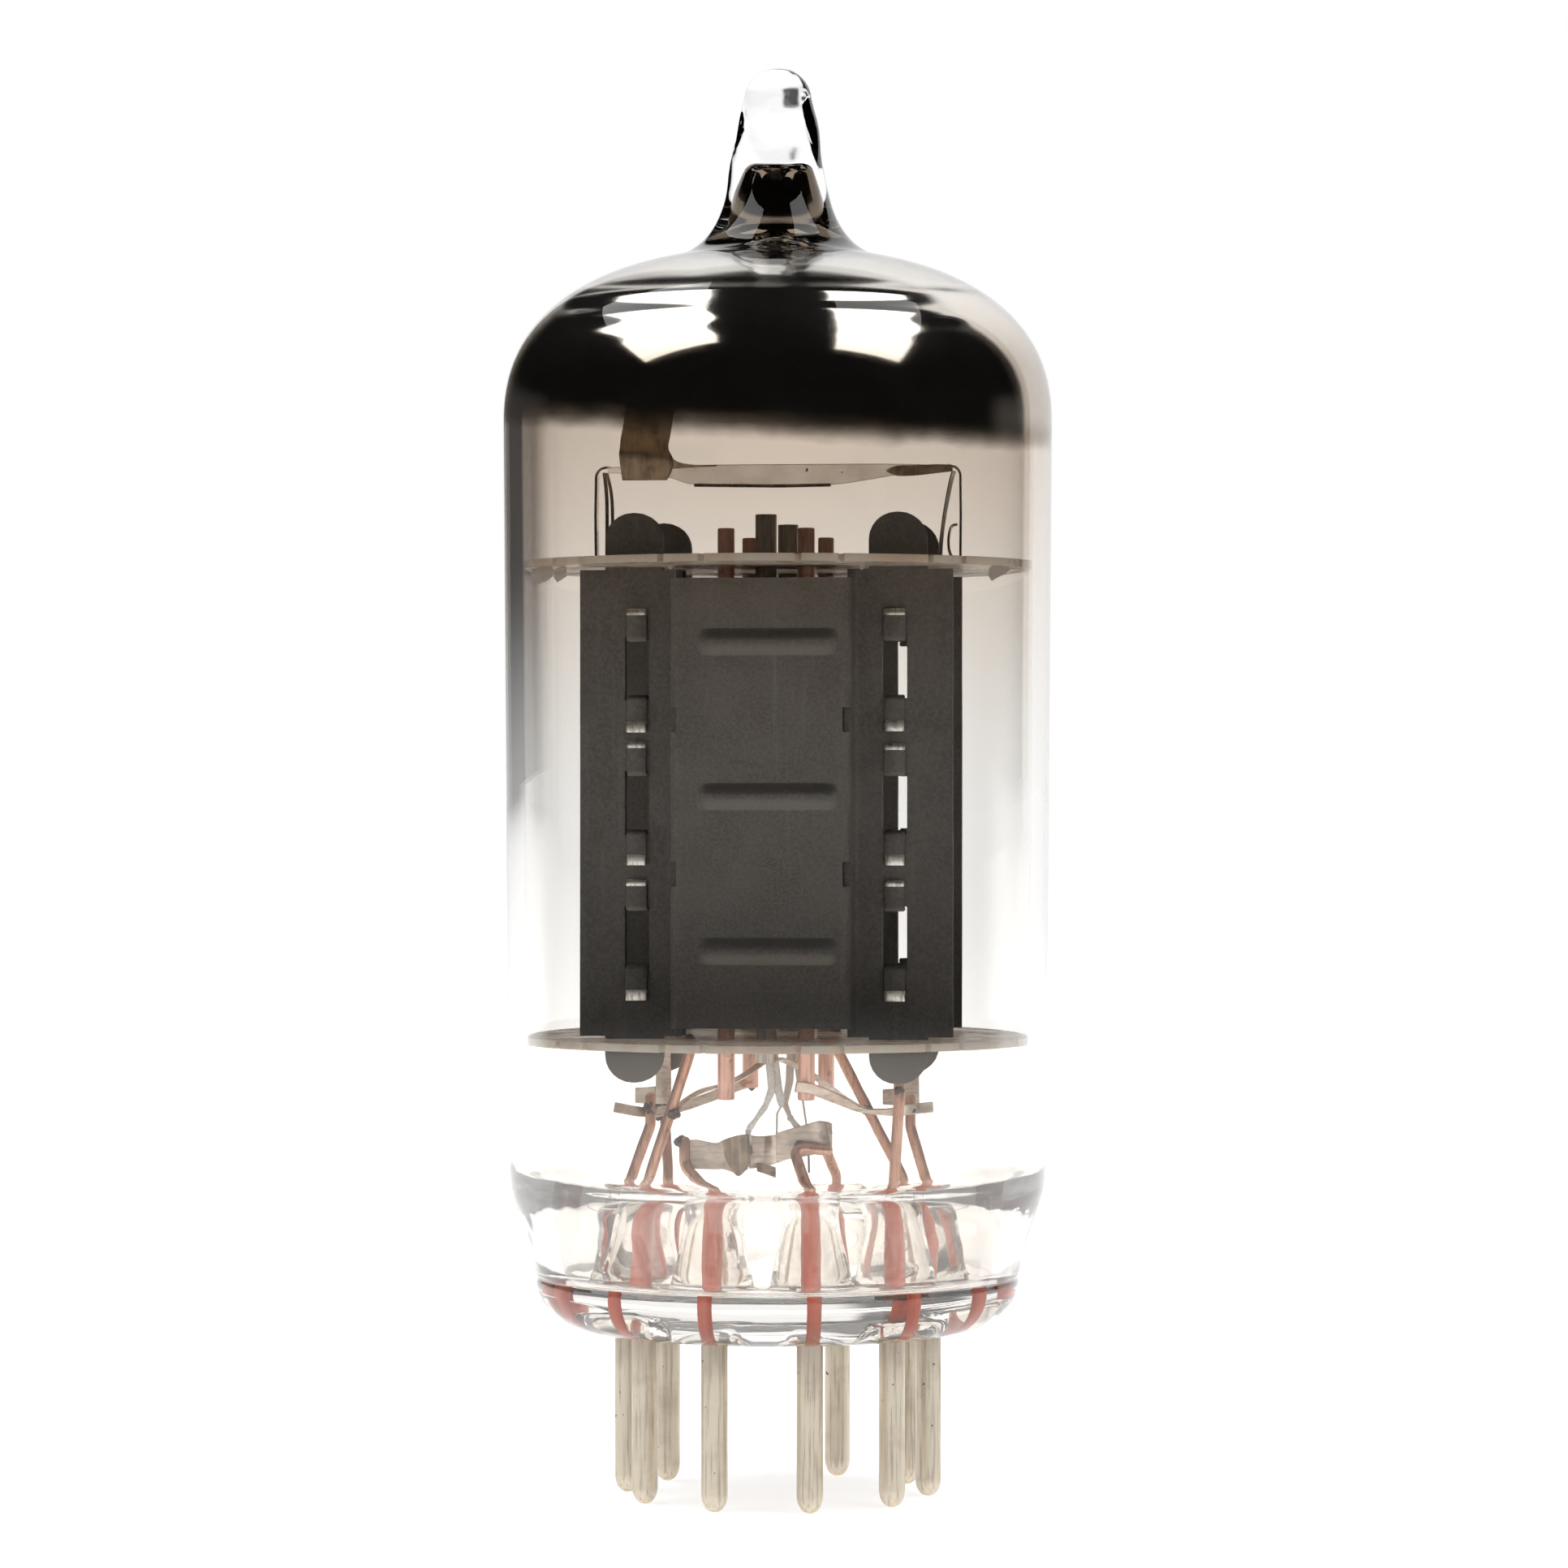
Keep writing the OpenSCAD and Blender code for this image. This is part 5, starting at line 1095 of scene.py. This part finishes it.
def cavity():
    """Floor, neck, wall, dome and bore of the inside as one closed form, facing in."""
    points, rows = [], []
    for r in FLOOR_RINGS:
        if r == 0.0:
            rows.append([0])
            points.append((0.0, 0.0, floor_height(0, 0)))
            continue
        rows.append(list(range(len(points), len(points) + AROUND_IN)))
        for k in range(AROUND_IN):
            turn = math.tau * k / AROUND_IN
            x, y = r * math.cos(turn), r * math.sin(turn)
            lift = 0.25 * ease((r - 7.9) / 0.5) ** 2
            points.append((x, y, floor_height(x, y) + lift))
    neck = bezier((FLOOR_EDGE, SEAM_Z + 0.25), (8.45, 9.8), (8.9, 11.3), (9.42, 12.15), 12)
    neck += bezier((9.42, 12.15), (9.68, 12.52), (WAIST_R - WALL, 12.55), (WAIST_R - WALL, NECK_Z), 8)
    for r, z in neck[:-1] + inner_outline():
        if r < 1e-6:
            rows.append([len(points)])
            points.append((0.0, 0.0, z))
            continue
        rows.append(list(range(len(points), len(points) + AROUND_IN)))
        points += [(r * math.cos(math.tau * k / AROUND_IN), r * math.sin(math.tau * k / AROUND_IN), z)
                   for k in range(AROUND_IN)]
    faces = []
    for low, high in zip(rows, rows[1:]):
        for k in range(AROUND_IN):
            m = (k + 1) % AROUND_IN
            if len(low) == 1:
                faces.append((low[0], high[k], high[m]))
            elif len(high) == 1:
                faces.append((low[m], low[k], high[0]))
            else:
                faces.append((low[m], low[k], high[k], high[m]))
    return points, faces


bulb_clear, tree, shader = finish("clear bulb glass", Roughness=0.0, IOR=1.5, Metallic=0.0)
shader.inputs["Transmission Weight"].default_value = 1.0
draw = use(tree, marks_group, Across_per_mm=0.35, Along_per_mm=0.04, Low=0.3, High=0.7, Shift=6.0)
smoked = use(tree, level_group, From_mm=26.0, To_mm=44.0)
tint = paint(tree, smoked.outputs["Mask"], (0.995, 0.985, 0.965), (0.985, 0.905, 0.82))
crown = use(tree, level_group, From_mm=44.0, To_mm=49.0)
tint = paint(tree, crown.outputs["Mask"], tint, (0.985, 0.985, 0.98))
base_glass = use(tree, level_group, From_mm=13.6, To_mm=12.4)
tint = paint(tree, base_glass.outputs["Mask"], tint, (0.985, 0.955, 0.91))
colour_and_polish(tree, shader, tint)
pressed = use(tree, clouds_group, Per_mm=0.45, Detail=1.0, Shift=12.0)
uneven = maths(tree, "MULTIPLY", pressed.outputs["Height"], base_glass.outputs["Mask"])
uneven = maths(tree, "MULTIPLY_ADD", uneven, 12.0, draw.outputs["Height"])
dent(tree, shader, uneven, 0.00001, 0.35)
tree.links.new(between(tree, base_glass.outputs["Mask"], 1.0, 0.92), shader.inputs["Alpha"])


def melted(form):
    """The tip's outside, left a little uneven where the glass was pulled off and melted shut."""
    points, faces = form
    noise.seed_set(10)      # without a seed, noise_vector draws another tip on each run
    soft = []
    for x, y, z in points:
        share = ease((z - TIP_ROOT_Z + 0.6) / 2.2) if z > TIP_ROOT_Z - 0.6 else 0.0
        lump = noise.noise_vector(Vector((-x * 0.75, y * 0.75, z * 0.6)) + Vector((3.1, 0.4, 7.7)))
        soft.append((x - share * (0.26 * lump.x + 0.03), y + share * 0.26 * lump.y, z))
    return soft, faces


envelope = joined(melted(turned(outer_outline(), AROUND_OUT)), cavity())
piece("glass_envelope", envelope, bulb_clear, ["glass_bulb", "stem_base"], crease=60)

# ---------------------------------------------------------------------------------------------
# Mirror film: metal flashed off the getter coats the inside of the dome and the tip. Its lower
# edge is soft and tilted, and a thin warm haze of the same metal runs on down the wall.
FILM_GAP, FILM = -0.05, 0.03    # the film lies in the wall's inner skin, so no air shows between
HAZE_FOOT = 26.0
RIPPLE, RIPPLE_DEEP = 0.84, 0.000014    # the moulded rings that bend the lamps' reflections


def times(tree, a, b):
    """Two values multiplied."""
    return maths(tree, "MULTIPLY", a, b)


def either(tree, a, b):
    """The greater of two values."""
    return maths(tree, "MAXIMUM", a, b)


getter_film, tree, shader = finish("dark getter film", Metallic=1.0)
spot = add(tree, "ShaderNodeSeparateXYZ", {0: millimetres(tree)})
ragged = use(tree, clouds_group, Per_mm=0.5, Low=0.2, High=0.8, Shift=3.0)
edge = spot.outputs["Z"]
for across, share in ((spot.outputs["X"], 0.055), (spot.outputs["Y"], -0.07), (ragged.outputs["Mask"], 0.25)):
    edge = maths(tree, "MULTIPLY_ADD", across, share, edge)
solid_film = window_of(tree, edge, 41.3, 43.1)
fade = add(tree, "ShaderNodeMapRange", {"Value": spot.outputs["Z"], "From Min": 27.0, "From Max": 42.0})
haze = maths(tree, "POWER", fade.outputs["Result"], 1.5)
tree.links.new(either(tree, between(tree, haze, 0.0, 0.1), solid_film), shader.inputs["Alpha"])
sheen = use(tree, clouds_group, Per_mm=0.4, Low=0.35, High=0.7, Shift=8.0)
colour = paint(tree, sheen.outputs["Mask"], (0.5, 0.47, 0.43), (0.58, 0.55, 0.51))
thick_film = use(tree, level_group, From_mm=43.6, To_mm=46.2)
colour = paint(tree, thick_film.outputs["Mask"], colour, (0.86, 0.84, 0.81))
colour = paint(tree, solid_film, (0.3, 0.2, 0.12), colour)
# Painted darkness: near the axis, in the neck and the bore, the film is painted nearly black, so it shows hardly
# any reflection there.
middle = add(tree, "ShaderNodeCombineXYZ", {"X": spot.outputs["X"], "Y": spot.outputs["Y"]}).outputs[0]
middle = add(tree, "ShaderNodeVectorMath", {0: middle}, operation="LENGTH").outputs["Value"]
colour = paint(tree, window_of(tree, middle, 3.9, 3.1), colour, (0.14, 0.11, 0.08))
colour_and_polish(tree, shader, colour, between(tree, sheen.outputs["Height"], 0.03, 0.1))
wave = maths(tree, "SINE", times(tree, spot.outputs["Z"], math.tau / RIPPLE))
for level, low, high in ((spot.outputs["Z"], 44.4, 45.4), (spot.outputs["Z"], 46.9, 46.3),
                         (maths(tree, "ABSOLUTE", spot.outputs["X"]), 8.0, 6.6)):
    wave = times(tree, wave, window_of(tree, level, low, high))
dent(tree, shader, wave, RIPPLE_DEEP)

outside = [p for p in inner_outline(FILM_GAP) if p[1] > HAZE_FOOT]
inside = [p for p in inner_outline(FILM_GAP + FILM) if p[1] > HAZE_FOOT]
piece("getter_film", turned([inside[0]] + outside + inside[::-1][1:], 160), getter_film, ["getter_mirror"],
      crease=60)

# ---------------------------------------------------------------------------------------------
# Table, light and camera: a white table under the tube, two long soft lamps overhead to its left
# and right, and a level camera. The room is painted by direction, and only the glass and the metal
# show it: dark flags round the tube, a bright panel and skyline behind it, and darkness above.
TABLE_R, TABLE_SIDES = 5.0, 96      # in metres
TABLE_GLOW, ROOM_DARK, LAMP_LIGHT = 0.66, 0.007, 2.2
FLAG_TURN = 32                      # the first flag stands so many degrees left of the back
PANEL_TURN = 12                     # and the panel's middle so many to its right

rim = [math.tau * k / TABLE_SIDES for k in range(TABLE_SIDES)]
table_mesh = bpy.data.meshes.new("table")
table_mesh.from_pydata([(TABLE_R * math.cos(t), TABLE_R * math.sin(t), 0.0) for t in rim], [],
                       [tuple(range(TABLE_SIDES))])
table = bpy.data.objects.new("table", table_mesh)
bpy.context.scene.collection.objects.link(table)
table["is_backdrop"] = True
table_white, tree, shader = finish("white table", Roughness=0.9)
shader.inputs["Specular IOR Level"].default_value = 0.0


def bounced(tree, ray):
    """One for a ray that came off a mirror-like surface, nought for one that went straight through."""
    return maths(tree, "GREATER_THAN", ray.outputs["Glossy Depth"], 0.5)


def turn_of(tree, toward):
    """The direction round the tube, nought straight behind it."""
    return maths(tree, "ARCTAN2", toward.outputs["X"], toward.outputs["Y"])


def flags(tree, toward):
    """Where the four dark flags stand round the tube, each to the left of one side of it."""
    four = maths(tree, "MULTIPLY_ADD", turn_of(tree, toward), 4.0, math.radians(4 * FLAG_TURN))
    return window_of(tree, maths(tree, "COSINE", four), 0.31, 0.77)


def arch_of(tree, toward, middle, full, none):
    """One within so many degrees of a direction round the tube, and nought further off."""
    off = maths(tree, "SUBTRACT", turn_of(tree, toward), math.radians(middle))
    return window_of(tree, maths(tree, "ABSOLUTE", off), math.radians(none), math.radians(full))


ray = add(tree, "ShaderNodeLightPath")
lit = either(tree, ray.outputs["Is Transmission Ray"], ray.outputs["Is Glossy Ray"])
lit = either(tree, ray.outputs["Is Camera Ray"], lit)
place = add(tree, "ShaderNodeTexCoord").outputs["Object"]
spot = add(tree, "ShaderNodeSeparateXYZ", {0: place})
reach = add(tree, "ShaderNodeVectorMath", {0: place}, operation="LENGTH").outputs["Value"]
far = times(tree, window_of(tree, reach, 0.16, 0.36), bounced(tree, ray))
far = times(tree, far, between(tree, arch_of(tree, spot, 0, 60, 75), 1.0, 0.0))
far_flag = times(tree, flags(tree, spot), window_of(tree, reach, 0.7, 4.5))
far_flag = times(tree, far_flag, between(tree, ray.outputs["Is Camera Ray"], 0.62, 0.0))
dark = either(tree, far, far_flag)
tree.links.new(paint(tree, dark, (0.8, 0.8, 0.8), (0.03, 0.03, 0.03)), shader.inputs["Base Color"])
shader.inputs["Emission Color"].default_value = (1.0, 1.0, 1.0, 1.0)
tree.links.new(times(tree, lit, between(tree, dark, TABLE_GLOW, 0.0)), shader.inputs["Emission Strength"])
table.data.materials.append(table_white)

world = bpy.data.worlds.new("studio")
bpy.context.scene.world = world
world.use_nodes = True
tree = world.node_tree
sky = tree.nodes["Background"]
toward = add(tree, "ShaderNodeSeparateXYZ", {0: add(tree, "ShaderNodeTexCoord").outputs["Generated"]})
ray = add(tree, "ShaderNodeLightPath")
low_sky = window_of(tree, toward.outputs["Z"], 0.5, 0.25)
over_table = window_of(tree, toward.outputs["Z"], -0.01, 0.04)
flagged = times(tree, flags(tree, toward), between(tree, over_table, 0.6, 0.9))
through = times(tree, between(tree, flagged, 1.0, 0.0), low_sky)
panel = times(tree, arch_of(tree, toward, PANEL_TURN, 29, 33), window_of(tree, toward.outputs["Z"], 0.745, 0.675))
skyline = times(tree, arch_of(tree, toward, 0, 60, 75), between(tree, over_table, 0.4, 0.08))
skyline = times(tree, skyline, window_of(tree, toward.outputs["Z"], 0.2, 0.06))
mirrored = either(tree, either(tree, panel, skyline), ROOM_DARK)
light = paint(tree, ray.outputs["Is Diffuse Ray"], (0.3, 0.3, 0.3), (0.45, 0.45, 0.45))
light = paint(tree, ray.outputs["Is Glossy Ray"], light, mirrored)
light = paint(tree, ray.outputs["Is Transmission Ray"], light, paint(tree, bounced(tree, ray), through, mirrored))
light = paint(tree, ray.outputs["Is Camera Ray"], light, (1.0, 1.0, 1.0))
tree.links.new(light, sky.inputs["Color"])
sky.inputs["Strength"].default_value = 1.0

for side, back, front, width in (("left", (-0.255, 0.28, 0.55), (-0.25, -0.245, 0.34), 0.25),
                                 ("right", (0.165, 0.18, 0.55), (0.265, -0.21, 0.3), 0.2)):
    along, middle = Vector(back) - Vector(front), (Vector(back) + Vector(front)) / 2
    lamp = bpy.data.lights.new("soft_lamp_" + side, "AREA")
    lamp.shape, lamp.size, lamp.size_y = "RECTANGLE", width, along.length
    lamp.energy = LAMP_LIGHT * math.pi * width * along.length
    held = bpy.data.objects.new(lamp.name, lamp)
    bpy.context.scene.collection.objects.link(held)
    along.normalize()
    off = (middle - along * middle.dot(along)).normalized()
    held.location = middle
    held.rotation_euler = Matrix((along.cross(off), along, off)).transposed().to_euler()

VIEW_TURN, VIEW_FAR, VIEW_HIGH = math.radians(6), 211.27, 27.93
PICTURE_WIDE, AXIS_LEFT = 1932, 8       # the tube's axis stands so far left of the picture's middle
camera = bpy.data.objects.new("camera", bpy.data.cameras.new("camera"))
bpy.context.scene.collection.objects.link(camera)
camera.data.lens, camera.data.sensor_width = 123.2, 36.0
camera.data.shift_x = AXIS_LEFT / PICTURE_WIDE
camera.data.clip_start = 0.01
camera.location = (VIEW_FAR * MM * math.sin(VIEW_TURN), -VIEW_FAR * MM * math.cos(VIEW_TURN), VIEW_HIGH * MM)
camera.rotation_euler = (math.radians(90), 0.0, VIEW_TURN)
bpy.context.scene.camera = camera
bpy.context.scene.view_settings.view_transform = "Standard"

low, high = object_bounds()
